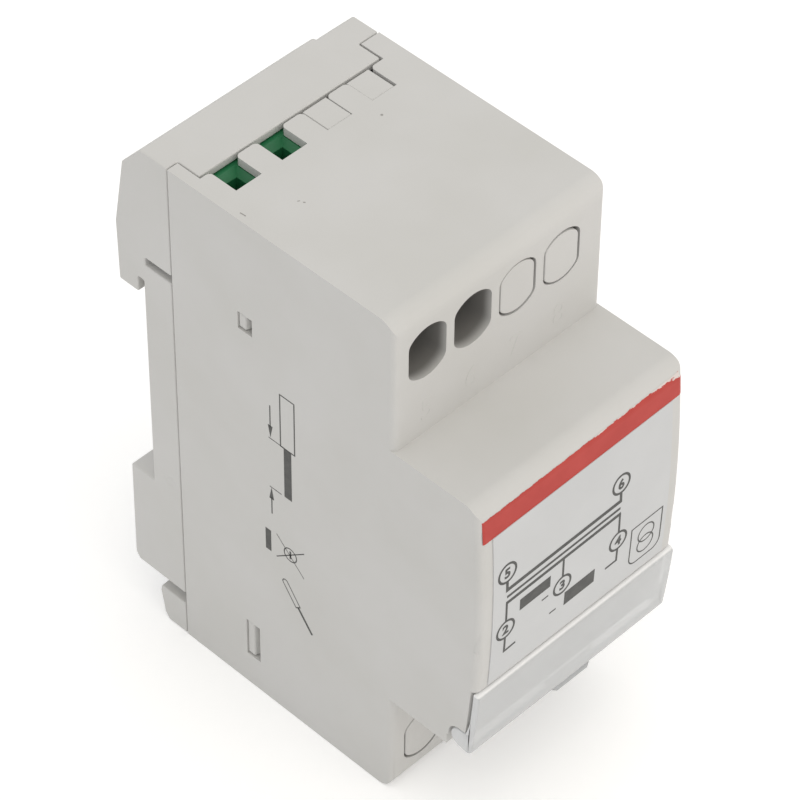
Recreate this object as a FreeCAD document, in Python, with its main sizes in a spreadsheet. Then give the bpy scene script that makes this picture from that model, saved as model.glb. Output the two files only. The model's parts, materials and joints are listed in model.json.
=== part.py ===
import FreeCAD, Part
import os
import math
import Sketcher

# Two-module bell transformer for a 35 mm mounting rail.
# X runs to the right as seen from the front, Y to the rear, Z up. The origin is the
# centre of the face that seats on the rail.

os.makedirs("parts", exist_ok=True)
doc = FreeCAD.newDocument("bell_transformer")

# Driving dimensions, in millimetres

driving = {
    # Outline of the housing
    "rail_rise": 43.5,
    "seat_depth": 5.1,
    "shoulder_reach": 38.4,
    "hood_rise": 17.7,
    "hood_span": 45.0,
    "upper_rise": 20.7,
    "hood_room": 6.4,
    "crown_radius": 200.0,
    "crown_rise": 26.8,
    "wall": 1.8,
    "corner_round": 2.6,
    "edge_round": 1.0,
    "seam_gap": 0.22,
    # Wire entries and screw holes
    "first_column": 5.4,
    "last_margin": 7.54,
    "hole_drop": 7.35,
    "hole_web": 1.32,
    "hole_round": 0.85,
    "hole_ease": 1.6,
    "tunnel_wall": 1.1,
    "notch_half": 2.1,
    "notch_depth": 4.55,
    "tooth_round": 0.7,
    "entry_wall": 1.25,
    # Rear flanges of the base, which close the wire entries from behind
    "flange_reach": 3.7,
    "strip_left": 1.7,
    "strip_right": 3.15,
    "flange_gap": 0.4,
    # Snap windows in the side walls
    "window_front": 11.8,
    "window_length": 2.5,
    "window_high_drop": 15.4,
    "window_high_tall": 2.8,
    "window_low_low": 5.6,
    "window_low_top": 12.2,
    "arm_thickness": 1.2,
    "nose_reach": 1.85,
    "catch_gap": 0.05,
    # Rail hook and the blocks on the back
    "rail_half": 17.5,
    "rail_sheet": 1.0,
    "rail_clearance": 0.2,
    "hook_bite": 2.0,
    "hook_depth": 4.75,
    "back_draft": 0.2,
    "waist_depth": 0.4,
    "foot_bevel": 1.6,
    "foot_step": 0.9,
    "block_bevel": 0.7,
    "groove_rise": 0.6,
    "relief_width": 3.35,
    "relief_depth": 0.55,
    "top_inset": 0.35,
    "post_drop": 4.0,
    "bevel_drop": 3.9,
    "bevel_depth": 3.0,
    "bulge_rise": 9.7,
    "lower_depth": 4.4,
    "lower_low": 7.9,
    "foot_high": 5.8,
    "side_slot_rise": 5.4,
    "side_slot_tall": 1.3,
    "side_slot_depth": 2.6,
    "base_floor": 2.2,
    "base_side": 2.0,
    # Sliding rail clip and its spring
    "clip_half": 6.0,
    "clip_front": 0.2,
    "clip_thickness": 2.4,
    "clip_bite": 1.6,
    "clip_end": 0.8,
    "hook_half": 4.8,
    "hook_height": 7.0,
    "slide_clearance": 0.2,
    "spring_radius": 0.95,
    "spring_wire": 0.36,
    "spring_turns": 7.0,
    "window_half": 2.2,
    "post_rise": 10.5,
    "post_height": 1.6,
    "clip_head": 4.7,
    "spring_seat": 0.2,
    # Clear label flap
    "flap_rise": 12.6,
    "flap_lift": 0.7,
    "flap_proud": 0.65,
    "flap_sunk": 0.45,
    "flap_clearance": 0.3,
    "flap_inset": 0.1,
    "flap_chamfer": 0.5,
    "pivot_back": 2.9,
    "pivot_rise": 2.6,
    "ear_radius": 1.6,
    "ear_thickness": 1.05,
    "pin_radius": 0.8,
    "pin_length": 1.0,
    "pin_clearance": 0.07,
    "tab_width": 8.0,
    "tab_shift": 1.0,
    "tab_drop": 0.9,
    "tab_slope": 1.2,
    # Printed front
    "print_thickness": 0.12,
    "band_inset": 1.1,
    "label_inset": 2.1,
    "band_drop": 2.0,
    "band_tall": 3.95,
    "label_gap": 0.6,
    # Circuit board and terminals
    "board_gap": 0.2,
    "board_thickness": 1.6,
    "board_margin": 3.7,
    "block_depth": 15.2,
    "block_height": 12.2,
    "block_margin": 3.5,
    "block_gap": 0.2,
    "chamber_web": 1.72,
    "head_room": 0.35,
    "funnel_half": 2.1,
    "funnel_deep": 4.4,
    "funnel_depth": 0.85,
    "throat_half": 1.3,
    "throat_deep": 2.5,
    "wire_centre": 4.55,
    "cage_play": 0.25,
    "cage_tall": 2.5,
    "cage_wall": 0.85,
    "cage_nut": 1.7,
    "wire_space": 2.7,
    "bar_half": 1.5,
    "bar_thickness": 0.8,
    "tail_reach": 1.6,
    "pin_size": 1.0,
    "screw_head": 2.6,
    "screw_head_height": 2.0,
    "screw_shank": 1.45,
    "screw_length": 6.0,
    "screw_slot": 0.8,
    "screw_slot_depth": 1.0,
    "screw_slot_end": 0.5,
    "thread_clearance": 0.08,
    "insert_clearance": 0.2,
    "insert_disc": 2.0,
    "insert_stem": 2.0,
    "insert_proud": 0.15,
    "insert_sink": 0.05,
    "tongue_gap": 0.05,
    # Core, bobbin and windings
    "core_width": 42.0,
    "core_room": 3.2,
    "core_stack": 15.0,
    "core_leg": 14.0,
    "core_yoke": 7.0,
    "core_gap": 4.6,
    "bobbin_wall": 1.0,
    "bobbin_flange": 0.9,
    "bobbin_clearance": 0.2,
    "winding_room": 1.35,
    "flange_lip": 0.9,
    "tape_thickness": 0.25,
    "solder_pin": 0.4,
    "fuse_radius": 3.2,
    "fuse_thickness": 2.2,
}

sheet = doc.addObject("Spreadsheet::Sheet", "Sizes")
for row, (alias, number) in enumerate(driving.items(), start=1):
    sheet.set(f"A{row}", alias)
    sheet.set(f"B{row}", str(number))
    sheet.setAlias(f"B{row}", alias)
doc.recompute()


class Size:
    """A length that carries both its number and the sheet formula that gives it."""

    def __init__(self, value, formula):
        self.value = float(value)
        self.formula = formula

    def __add__(self, other):
        other = as_size(other)
        return Size(self.value + other.value, f"({self.formula} + {other.formula})")

    def __radd__(self, other):
        return as_size(other) + self

    def __sub__(self, other):
        other = as_size(other)
        return Size(self.value - other.value, f"({self.formula} - {other.formula})")

    def __rsub__(self, other):
        return as_size(other) - self

    def __mul__(self, other):
        other = as_size(other)
        return Size(self.value * other.value, f"({self.formula} * {other.formula})")

    def __rmul__(self, other):
        return as_size(other) * self

    def __truediv__(self, other):
        other = as_size(other)
        return Size(self.value / other.value, f"({self.formula} / {other.formula})")

    def __neg__(self):
        return Size(-self.value, f"(0 - {self.formula})")


def as_size(item):
    return item if isinstance(item, Size) else Size(item, repr(float(item)))


def root(item):
    return Size(math.sqrt(item.value), f"sqrt({item.formula})")


class Sheet:
    """Gives each named cell of the sheet as a Size."""

    def __getattr__(self, alias):
        return Size(driving[alias], f"Sizes.{alias}")


s = Sheet()


def bind(thing, prop, size):
    thing.setExpression(prop, as_size(size).formula)


# Levels that several pieces share

# Four terminal places per row, counted from 0 at the left
places_per_row = 4
chamber_half = s.screw_head + s.head_room
cage_half = chamber_half - s.cage_play
pitch = chamber_half * 2 + s.chamber_web
hole_flat = (pitch - s.hole_web) / 2
hole_radius = hole_flat + s.hole_round

half = (s.first_column + pitch * (places_per_row - 1) + s.last_margin) / 2
bottom = -s.rail_rise
seam = -s.seat_depth
shoulder = seam - s.shoulder_reach
hood_low = bottom + s.hood_rise
hood_high = hood_low + s.hood_span
top = hood_high + s.upper_rise
core_height = s.hood_span - (s.wall + s.core_room) * 2
core_rear = seam - s.core_gap
core_front = core_rear - s.core_width
core_y = core_rear - s.core_width / 2
core_z = (hood_low + hood_high) / 2
side_leg = (s.core_width - s.core_leg) / 4
coil_space = side_leg - s.bobbin_clearance * 2 - s.bobbin_wall
winding_build = coil_space - s.tape_thickness - s.winding_room
coil_build = winding_build + s.flange_lip
hood_front = core_front - s.hood_room
crown_y = hood_front + s.crown_radius
crown_z = hood_low + s.crown_rise
row_high = top - s.hole_drop
row_low = bottom + s.hole_drop
flange_front = seam - s.flange_reach
pivot_y = hood_front + s.pivot_back
pivot_z = hood_low + s.pivot_rise
flap_top = hood_low + s.flap_rise
flap_end = hood_low + s.flap_lift
band_high = hood_high - s.band_drop
band_low = band_high - s.band_tall
label_low = flap_top + s.label_gap
hook_z = s.rail_half - s.hook_bite
block_top = -s.rail_half - s.rail_clearance
plate_top = block_top - s.rail_clearance * 2
lower_low = bottom + s.lower_low
post_top = bottom + s.post_rise + s.post_height
spring_top = plate_top - s.clip_head
spring_length = spring_top - post_top
board_rear = seam - s.board_gap
board_front = board_rear - s.board_thickness
block_front = board_front - s.block_depth
wire_y = board_front - s.wire_centre
bar_rear = wire_y - s.wire_space / 2
bar_front = bar_rear - s.bar_thickness
cage_rear = wire_y + s.wire_space / 2 + s.cage_wall
beyond = s.wall * 3

# Each live terminal's number gives its place in the row. Outward is 1 for the row whose
# wires enter from above, -1 for the other.
upper_row = {"name": "top", "level": row_high, "outward": 1, "live": {5: 0, 6: 1}}
lower_row = {"name": "bottom", "level": row_low, "outward": -1, "live": {2: 1, 3: 2, 4: 3}}


def column(number):
    """Centre of a terminal position, counted from 0 at the left."""
    return -half + s.first_column + pitch * number


def crown(level, offset):
    """Depth of the hood's curved front at a level, moved out by an offset."""
    reach = s.crown_radius + offset
    rise = level - crown_z
    return crown_y - root(reach * reach - rise * rise)


def contact_end(row, outward):
    """Inner end of a contact bar, where its solder pin leaves for the board."""
    return row - (chamber_half + s.tail_reach) * outward


# Sketches and features

def new_body(name):
    body = doc.addObject("PartDesign::Body", name)
    body.Label = name
    return body


def origin_plane(body, role):
    """One of the body's own planes or axes."""
    for feature in body.Origin.OriginFeatures:
        if feature.Role == role:
            return feature
    raise ValueError(role)


def sketch_on(body, name, plane, level):
    """An empty sketch parallel to one of the body's own planes, at a level along its axis."""
    sketch = body.newObject("Sketcher::SketchObject", name)
    sketch.AttachmentSupport = [(origin_plane(body, f"{plane}_Plane"), "")]
    sketch.MapMode = "FlatFace"
    bind(sketch, "AttachmentOffset.Base.z", level)
    return sketch


def fix_point(sketch, side, end, corner):
    """Hold one end of a side at a corner by its two distances from the origin."""
    for kind, size in (("DistanceX", corner[0]), ("DistanceY", corner[1])):
        held = as_size(size)
        index = sketch.addConstraint(Sketcher.Constraint(kind, -1, 1, side, end, held.value))
        sketch.setExpression(f"Constraints[{index}]", held.formula)


def arc_between(start, stop, radius, swing):
    """Arc from start to stop. A swing of 1 turns left on the way, a swing of -1 right."""
    chord = stop - start
    middle = (start + stop) * 0.5
    drop = math.sqrt(radius * radius - chord.Length * chord.Length / 4)
    normal = FreeCAD.Vector(-chord.y, chord.x, 0).normalize()
    centre = middle + normal * drop * swing
    first, last = (start, stop) if swing > 0 else (stop, start)
    a = math.atan2(first.y - centre.y, first.x - centre.x)
    b = math.atan2(last.y - centre.y, last.x - centre.x)
    if b < a:
        b += 2 * math.pi
    circle = Part.Circle(centre, FreeCAD.Vector(0, 0, 1), radius)
    return Part.ArcOfCircle(circle, a, b)


def outline(sketch, corners, arcs=None):
    """Closed loop through the corners. arcs gives a side's number its radius and swing."""
    arcs = arcs or {}
    corners = [(as_size(u), as_size(v)) for u, v in corners]
    points = [FreeCAD.Vector(u.value, v.value, 0) for u, v in corners]
    sides = []
    for number, start in enumerate(points):
        stop = points[(number + 1) % len(points)]
        if number in arcs:
            radius, swing = arcs[number]
            side = sketch.addGeometry(arc_between(start, stop, as_size(radius).value, swing))
            ends = (1, 2) if swing > 0 else (2, 1)
            index = sketch.addConstraint(Sketcher.Constraint("Radius", side, as_size(radius).value))
            sketch.setExpression(f"Constraints[{index}]", as_size(radius).formula)
        else:
            side = sketch.addGeometry(Part.LineSegment(start, stop))
            ends = (1, 2)
        sides.append((side, ends))
    for number, (side, ends) in enumerate(sides):
        following, next_ends = sides[(number + 1) % len(sides)]
        sketch.addConstraint(Sketcher.Constraint("Coincident", side, ends[1], following, next_ends[0]))
        fix_point(sketch, side, ends[0], corners[number])


def rectangle(u_low, u_high, v_low, v_high):
    return [(u_low, v_low), (u_high, v_low), (u_high, v_high), (u_low, v_high)]


def circle(sketch, u, v, radius):
    centre = FreeCAD.Vector(as_size(u).value, as_size(v).value, 0)
    side = sketch.addGeometry(Part.Circle(centre, FreeCAD.Vector(0, 0, 1), as_size(radius).value))
    index = sketch.addConstraint(Sketcher.Constraint("Radius", side, as_size(radius).value))
    sketch.setExpression(f"Constraints[{index}]", as_size(radius).formula)
    fix_point(sketch, side, 3, (u, v))


def start_level(plane, low, high):
    """Sketch level whose normal runs from it over the whole span along the plane's axis."""
    return -as_size(high) if plane == "XZ" else as_size(low)


def add(body, name, plane, loops, low, high):
    """Pad the loops between two levels along the plane's axis."""
    sketch = sketch_on(body, f"{name}_sketch", plane, start_level(plane, low, high))
    for loop in loops:
        loop(sketch)
    feature = body.newObject("PartDesign::Pad", name)
    feature.Profile = sketch
    bind(feature, "Length", as_size(high) - as_size(low))
    sketch.Visibility = False
    return feature


def cut(body, name, plane, loops, low, high):
    """Pocket the loops between two levels along the plane's axis."""
    doc.recompute()
    before = body_volume(body)
    sketch = sketch_on(body, f"{name}_sketch", plane, start_level(plane, low, high))
    for loop in loops:
        loop(sketch)
    feature = body.newObject("PartDesign::Pocket", name)
    feature.Profile = sketch
    feature.Reversed = True
    bind(feature, "Length", as_size(high) - as_size(low))
    sketch.Visibility = False
    doc.recompute()
    after = body_volume(body)
    if not after < before:
        raise RuntimeError(f"{name} removes nothing")
    return feature


def cut_funnel(body, name, mouth, throat):
    """Cut away the space between two loops, each given with its level."""
    doc.recompute()
    before = body_volume(body)
    sketches = []
    for end, (loop, level) in (("mouth", mouth), ("throat", throat)):
        sketch = sketch_on(body, f"{name}_{end}", "XY", level)
        loop(sketch)
        sketch.Visibility = False
        sketches.append(sketch)
    feature = body.newObject("PartDesign::SubtractiveLoft", name)
    feature.Profile = sketches[0]
    feature.Sections = [sketches[1]]
    doc.recompute()
    after = body_volume(body)
    if not after < before:
        raise RuntimeError(f"{name} removes nothing")
    return feature


def body_volume(body):
    tips = [item for item in body.Group if item.isDerivedFrom("PartDesign::Feature")]
    solid = [item for item in tips if not item.Shape.isNull()]
    return solid[-1].Shape.Volume if solid else 0.0


def box_loop(u_low, u_high, v_low, v_high):
    return lambda sketch: outline(sketch, rectangle(u_low, u_high, v_low, v_high))


def shape_loop(corners, arcs=None):
    return lambda sketch: outline(sketch, corners, arcs)


def circle_loop(u, v, radius):
    return lambda sketch: circle(sketch, u, v, radius)


def flat_hole_loop(u, v, radius, flat, ease):
    """Round hole with a flat on its left and right, eased where they meet."""
    inner = radius - ease
    ease_u = flat - ease
    ease_v = root(inner * inner - ease_u * ease_u)
    meet_u = ease_u * radius / inner
    meet_v = ease_v * radius / inner
    corners = [
        (u - meet_u, v - meet_v),
        (u + meet_u, v - meet_v),
        (u + flat, v - ease_v),
        (u + flat, v + ease_v),
        (u + meet_u, v + meet_v),
        (u - meet_u, v + meet_v),
        (u - flat, v + ease_v),
        (u - flat, v - ease_v),
    ]
    arcs = {0: (radius, 1), 1: (ease, 1), 3: (ease, 1), 4: (radius, 1), 5: (ease, 1), 7: (ease, 1)}
    return shape_loop(corners, arcs)


def repeat_along_x(body, name, feature, step, copies):
    """Row of equal features, spaced by a step to the right."""
    doc.recompute()
    pattern = body.newObject("PartDesign::LinearPattern", name)
    pattern.Originals = [feature]
    pattern.Direction = (origin_plane(body, "X_Axis"), [""])
    pattern.Occurrences = copies
    bind(pattern, "Length", step * (copies - 1))
    body.Tip = pattern
    return pattern


def mirror_sideways(body, name, features):
    """The same features again on the other side of the middle."""
    doc.recompute()
    mirror = body.newObject("PartDesign::Mirrored", name)
    mirror.Originals = features
    mirror.MirrorPlane = (origin_plane(body, "YZ_Plane"), [""])
    body.Tip = mirror
    return mirror


def round_edges(body, name, radius, wanted):
    """Round each edge of the tip for which wanted is true of its middle point."""
    doc.recompute()
    shape = body.Tip.Shape
    chosen = []
    for number, edge in enumerate(shape.Edges, start=1):
        middle = edge.valueAt((edge.FirstParameter + edge.LastParameter) / 2)
        if wanted(edge, middle):
            chosen.append(f"Edge{number}")
    if not chosen:
        raise RuntimeError(f"{name} finds no edge")
    fillet = body.newObject("PartDesign::Fillet", name)
    fillet.Base = (body.Tip if body.Tip != fillet else fillet.BaseFeature, chosen)
    bind(fillet, "Radius", radius)
    doc.recompute()
    return fillet


# Front cover

def corner_loop(corner_y, corner_z, toward_rear, toward_up, radius):
    """Region outside a quarter round at a front corner of the side outline."""
    overrun = s.wall
    edge_y = corner_y + radius * toward_rear
    edge_z = corner_z + radius * toward_up
    out_y = corner_y - overrun * toward_rear
    out_z = corner_z - overrun * toward_up
    swing = -1 if toward_rear * toward_up > 0 else 1
    corners = [
        (out_y, out_z),
        (edge_y, out_z),
        (edge_y, corner_z),
        (corner_y, edge_z),
        (out_y, edge_z),
    ]
    return shape_loop(corners, {2: (radius, swing)})


def snap_levels():
    """Heights of the upper and the lower snap window."""
    window_top = top - s.window_high_drop
    return [
        (window_top - s.window_high_tall, window_top),
        (bottom + s.window_low_low, bottom + s.window_low_top),
    ]


def notch_loop(centre):
    """Wire entry seen from above, with rounded teeth at its mouth."""
    mouth = flange_front - s.flange_gap
    deep = mouth - s.notch_depth
    left = centre - s.notch_half
    right = centre + s.notch_half
    lip = mouth - s.tooth_round
    open_end = mouth + s.flange_gap / 2
    corners = [
        (left, lip),
        (left, deep),
        (right, deep),
        (right, lip),
        (right + s.tooth_round, mouth),
        (right + s.tooth_round, open_end),
        (left - s.tooth_round, open_end),
        (left - s.tooth_round, mouth),
    ]
    return shape_loop(corners, {3: (s.tooth_round, -1), 7: (s.tooth_round, -1)})


def make_front_cover():
    body = new_body("front_cover")
    rear = seam - s.seam_gap
    side_outline = [
        (rear, bottom),
        (rear, top),
        (shoulder, top),
        (shoulder, hood_high),
        (crown(hood_high, 0), hood_high),
        (crown(hood_low, 0), hood_low),
        (shoulder, hood_low),
        (shoulder, bottom),
    ]
    add(body, "cover_outside", "YZ", [shape_loop(side_outline, {4: (s.crown_radius, 1)})], -half, half)

    def front_upright(edge, middle):
        upright = abs(edge.Vertexes[0].Point.z - edge.Vertexes[-1].Point.z) > s.corner_round.value
        return upright and middle.y < shoulder.value + s.edge_round.value
    round_edges(body, "cover_front_edges", s.edge_round, front_upright)

    # The four outer corners of the side outline are rounded all the way across
    high_front = crown(hood_high, 0)
    corners = [
        corner_loop(shoulder, top, 1, -1, s.corner_round),
        corner_loop(shoulder, bottom, 1, 1, s.corner_round),
        corner_loop(crown(hood_high - s.corner_round, 0), hood_high, 1, -1, s.corner_round),
    ]
    cut(body, "cover_corner_rounds", "YZ", corners, -half - beyond, half + beyond)

    # Hollow, with a thicker lower lip that carries the flap's pivots
    lip_y = pivot_y + s.tab_drop + s.wall * 2
    lip_z = pivot_z + s.wall / 2
    inside = [
        (rear + beyond, bottom + s.wall),
        (rear + beyond, top - s.wall),
        (shoulder + s.wall, top - s.wall),
        (shoulder + s.wall, hood_high - s.wall),
        (high_front + s.wall, hood_high - s.wall),
        (crown(lip_z, 0) + s.wall, lip_z),
        (lip_y, lip_z),
        (lip_y, hood_low + s.wall),
        (shoulder + s.wall, hood_low + s.wall),
        (shoulder + s.wall, bottom + s.wall),
    ]
    cut(body, "cover_hollow", "YZ", [shape_loop(inside)], -half + s.wall, half - s.wall)

    # Blocks behind the shoulders that carry the screw holes back to the terminals
    tunnel_left = column(0) - hole_flat - s.tunnel_wall
    tunnel_right = column(places_per_row - 1) + hole_flat + s.tunnel_wall
    tunnel_rear = block_front - s.block_gap
    reach = hole_radius + s.tunnel_wall
    loops = [
        box_loop(tunnel_left, tunnel_right, row_high - reach, top - s.wall / 2),
        box_loop(tunnel_left, tunnel_right, bottom + s.wall / 2, row_low + reach),
    ]
    add(body, "cover_tunnels", "XZ", loops, shoulder + s.wall / 2, tunnel_rear)
    holes = [
        flat_hole_loop(column(0), row_high, hole_radius, hole_flat, s.hole_ease),
        flat_hole_loop(column(0), row_low, hole_radius, hole_flat, s.hole_ease),
    ]
    hole = cut(body, "cover_screw_hole", "XZ", holes, shoulder - beyond, tunnel_rear + s.wall)
    repeat_along_x(body, "cover_screw_holes", hole, pitch, places_per_row)

    # The walls over the terminal blocks are thinner
    block_rooms = [
        box_loop(-half + s.wall, half - s.wall, row_high, top - s.entry_wall),
        box_loop(-half + s.wall, half - s.wall, bottom + s.entry_wall, row_low),
    ]
    cut(body, "cover_block_rooms", "XZ", block_rooms, tunnel_rear, rear + beyond)

    # Rear edges: room for the base's flanges, then the wire entries
    flange_left = -half + s.strip_left
    flange_right = half - s.strip_right
    flange_cut = box_loop(flange_left, flange_right, flange_front - s.flange_gap, seam)
    cut(body, "cover_flange_room", "XY", [flange_cut], bottom - beyond, top + beyond)
    notch = cut(body, "cover_wire_entry", "XY", [notch_loop(column(0))], bottom - beyond, top + beyond)
    repeat_along_x(body, "cover_wire_entries", notch, pitch, places_per_row)

    window_rear = seam - s.window_front
    windows = [
        box_loop(window_rear - s.window_length, window_rear, low, high)
        for low, high in snap_levels()
    ]
    cut(body, "cover_snap_windows", "YZ", windows, -half - beyond, half + beyond)

    # Seat of the flap: the front is set back, and the lower edge clears the flap's swing
    sunk = s.flap_sunk + s.flap_clearance
    seat_top = flap_top + s.flap_clearance
    seat_at_pivot = crown(pivot_z, -sunk)
    nib = pivot_y - seat_at_pivot
    swing_back = pivot_y + (pivot_z - flap_end) + s.flap_clearance
    front_out = crown(crown_z, 0) - beyond
    low_out = hood_low - beyond
    seat = [
        (front_out, low_out),
        (swing_back, low_out),
        (swing_back, pivot_z - nib),
        (pivot_y, pivot_z - nib),
        (seat_at_pivot, pivot_z),
        (crown(seat_top, -sunk), seat_top),
        (front_out, seat_top),
    ]
    seat_arcs = {3: (nib, -1), 4: (s.crown_radius - sunk, -1)}
    cut(body, "cover_flap_seat", "YZ", [shape_loop(seat, seat_arcs)], -half - beyond, half + beyond)
    grip_room = box_loop(swing_back - s.wall, swing_back + s.tab_drop, low_out, pivot_z - nib)
    grip_half = s.tab_width / 2 + s.flap_clearance
    grip_left = s.tab_shift - grip_half
    cut(body, "cover_grip_room", "YZ", [grip_room], grip_left, grip_left + grip_half * 2)

    clear = s.ear_radius + s.flap_clearance
    pocket = [
        (front_out, low_out),
        (pivot_y + clear, low_out),
        (pivot_y + clear, pivot_z),
        (pivot_y, pivot_z + clear),
        (front_out, pivot_z + clear),
    ]
    pocket_end = -half + s.ear_thickness + s.flap_clearance
    pocket_loop = shape_loop(pocket, {2: (clear, 1)})
    ear = cut(body, "cover_ear_pocket", "YZ", [pocket_loop], -half - beyond, pocket_end)
    pin_end = pocket_end + s.pin_length
    socket = circle_loop(pivot_y, pivot_z, s.pin_radius + s.pin_clearance)
    pin = cut(body, "cover_pin_socket", "YZ", [socket], -half, pin_end)
    mirror_sideways(body, "cover_ear_pockets", [ear, pin])

    # Ribs that hold the core between the hood's upper and lower walls
    rib_half = s.wall / 2
    core_low = core_z - core_height / 2
    core_high = core_z + core_height / 2
    rib_near = (core_front + shoulder) / 2
    rib_far = shoulder + s.wall
    ribs = [
        box_loop(-s.core_stack / 3 - rib_half, -s.core_stack / 3 + rib_half, rib_near, rib_far),
        box_loop(s.core_stack / 3 - rib_half, s.core_stack / 3 + rib_half, rib_near, rib_far),
    ]
    add(body, "cover_upper_ribs", "XY", ribs, core_high, hood_high - s.wall / 2)
    add(body, "cover_lower_ribs", "XY", ribs, hood_low + s.wall / 2, core_low)
    return body


# Rear base

def make_rear_base():
    body = new_body("rear_base")
    groove_z = s.rail_half + s.groove_rise
    groove_y = s.rail_sheet + s.rail_clearance / 2
    bevel_y = s.bevel_depth
    side_outline = [
        (seam, bottom),
        (-s.foot_bevel, bottom),
        (-s.foot_step, bottom + s.edge_round),
        (-s.back_draft, bottom + s.foot_high - s.edge_round),
        (-s.waist_depth, bottom + s.foot_high),
        (-s.waist_depth, lower_low),
        (s.lower_depth - s.block_bevel, lower_low),
        (s.lower_depth, lower_low + s.edge_round),
        (s.lower_depth - s.back_draft / 2, block_top),
        (0, block_top),
        (0, groove_z),
        (groove_y, groove_z),
        (groove_y, hook_z),
        (s.hook_depth - s.back_draft, hook_z),
        (s.hook_depth, hook_z + s.bulge_rise),
        (bevel_y, top - s.bevel_drop),
        (-s.top_inset, top),
        (seam, top),
    ]
    add(body, "base_outside", "YZ", [shape_loop(side_outline)], -half, half)

    # The rail hook is thinner at its right end
    relief_left = half - s.strip_right - s.relief_width
    relief = [
        (-s.top_inset - s.relief_depth, top + s.wall),
        (-s.top_inset - s.relief_depth, top),
        (bevel_y - s.relief_depth, top - s.bevel_drop),
        (s.hook_depth - s.relief_depth, hook_z + s.bulge_rise),
        (s.hook_depth - s.back_draft - s.relief_depth, hook_z),
        (s.hook_depth - s.back_draft - s.relief_depth, hook_z - s.wall),
        (s.hook_depth + s.wall, hook_z - s.wall),
        (s.hook_depth + s.wall, top + s.wall),
    ]
    cut(body, "base_edge_relief", "YZ", [shape_loop(relief)], relief_left, half + beyond)

    # Hollow behind the board, and a deeper one inside the hook
    floor = -s.base_floor
    inner = half - s.base_side
    room = box_loop(-inner, inner, bottom + s.wall * 2, top - s.wall * 2)
    cut(body, "base_hollow", "XZ", [room], seam - beyond, floor)
    hook_room = box_loop(-inner, inner, groove_z + s.base_floor, top - s.bevel_drop - s.wall)
    cut(body, "base_hook_hollow", "XZ", [hook_room], floor - s.wall, bevel_y - s.base_floor)

    # Slots in the sides, above the rail hook's foot and under the clip block
    foot_slot = [
        (seam - s.seam_gap, bottom + s.foot_high),
        (s.wall, bottom + s.foot_high),
        (s.wall, lower_low),
        (seam - s.seam_gap, lower_low),
    ]
    slot_low = hook_z + s.side_slot_rise
    upper_slot = rectangle(seam - s.seam_gap, -s.waist_depth, slot_low, slot_low + s.side_slot_tall)
    slots = [shape_loop(foot_slot), shape_loop(upper_slot)]
    slot = cut(body, "base_side_slot", "YZ", slots, -half - beyond, -half + s.side_slot_depth)
    mirror_sideways(body, "base_side_slots", [slot])

    # Flanges that close the wire entries from behind
    flange = box_loop(
        -half + s.strip_left + s.flange_gap / 2, half - s.strip_right - s.flange_gap / 2,
        flange_front, seam + s.wall)
    add(body, "base_upper_flange", "XY", [flange], top - s.entry_wall, top)
    add(body, "base_lower_flange", "XY", [flange], bottom, bottom + s.entry_wall)

    # Posts that carry the circuit board
    post_x = half - s.board_margin - s.wall * 1.5
    post_levels = (-s.rail_half - s.post_drop, s.rail_half + s.rail_clearance)
    posts = [circle_loop(side * post_x, level, s.wall) for side in (-1, 1) for level in post_levels]
    add(body, "base_board_posts", "XZ", posts, board_rear, floor + s.base_floor / 2)

    # Snap arms with noses that catch in the cover's windows
    play = s.slide_clearance
    arm_out = -half + s.wall + play
    arm_in = arm_out + s.arm_thickness
    arm_front = seam - s.window_front - s.window_length - s.arm_thickness
    made = []
    for number, (window_low, window_high) in enumerate(snap_levels()):
        low = window_low - play
        high = window_high + play
        arm = add(body, f"base_arm_{number}", "XY", [box_loop(arm_out, arm_in, arm_front, floor)], low, high)
        catch = seam - s.window_front - s.catch_gap
        tip = arm_out - s.nose_reach
        nose = [
            (arm_out + s.arm_thickness / 2, catch),
            (tip, catch),
            (tip, catch - s.window_length / 2),
            (arm_out + s.arm_thickness / 2, catch - s.window_length + play * 2),
        ]
        wedge = add(body, f"base_nose_{number}", "XY", [shape_loop(nose)], low + play * 2, high - play * 2)
        made.extend([arm, wedge])
    mirror_sideways(body, "base_snaps", made)

    # Slide for the rail clip, open at the rear, the top and the bottom of its block
    play = s.slide_clearance
    slide_front = -s.clip_front - play
    slide_rear = -s.clip_front + s.clip_thickness + play
    through = [lower_low - beyond, block_top + s.wall]
    wide = box_loop(-s.clip_half - play, s.clip_half + play, slide_front, slide_rear)
    cut(body, "base_slide", "XY", [wide], through[0], through[1])
    narrow = box_loop(-s.hook_half - play, s.hook_half + play, slide_front, s.lower_depth + s.wall)
    cut(body, "base_slide_mouth", "XY", [narrow], through[0], through[1])

    # Post that the clip's spring stands on
    post_low = bottom + s.post_rise
    post_half = s.window_half - play * 2
    post = box_loop(-post_half, post_half, slide_front - s.wall / 2, slide_rear)
    add(body, "base_spring_post", "XY", [post], post_low, post_low + s.post_height)
    return body


# Sliding rail clip

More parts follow.
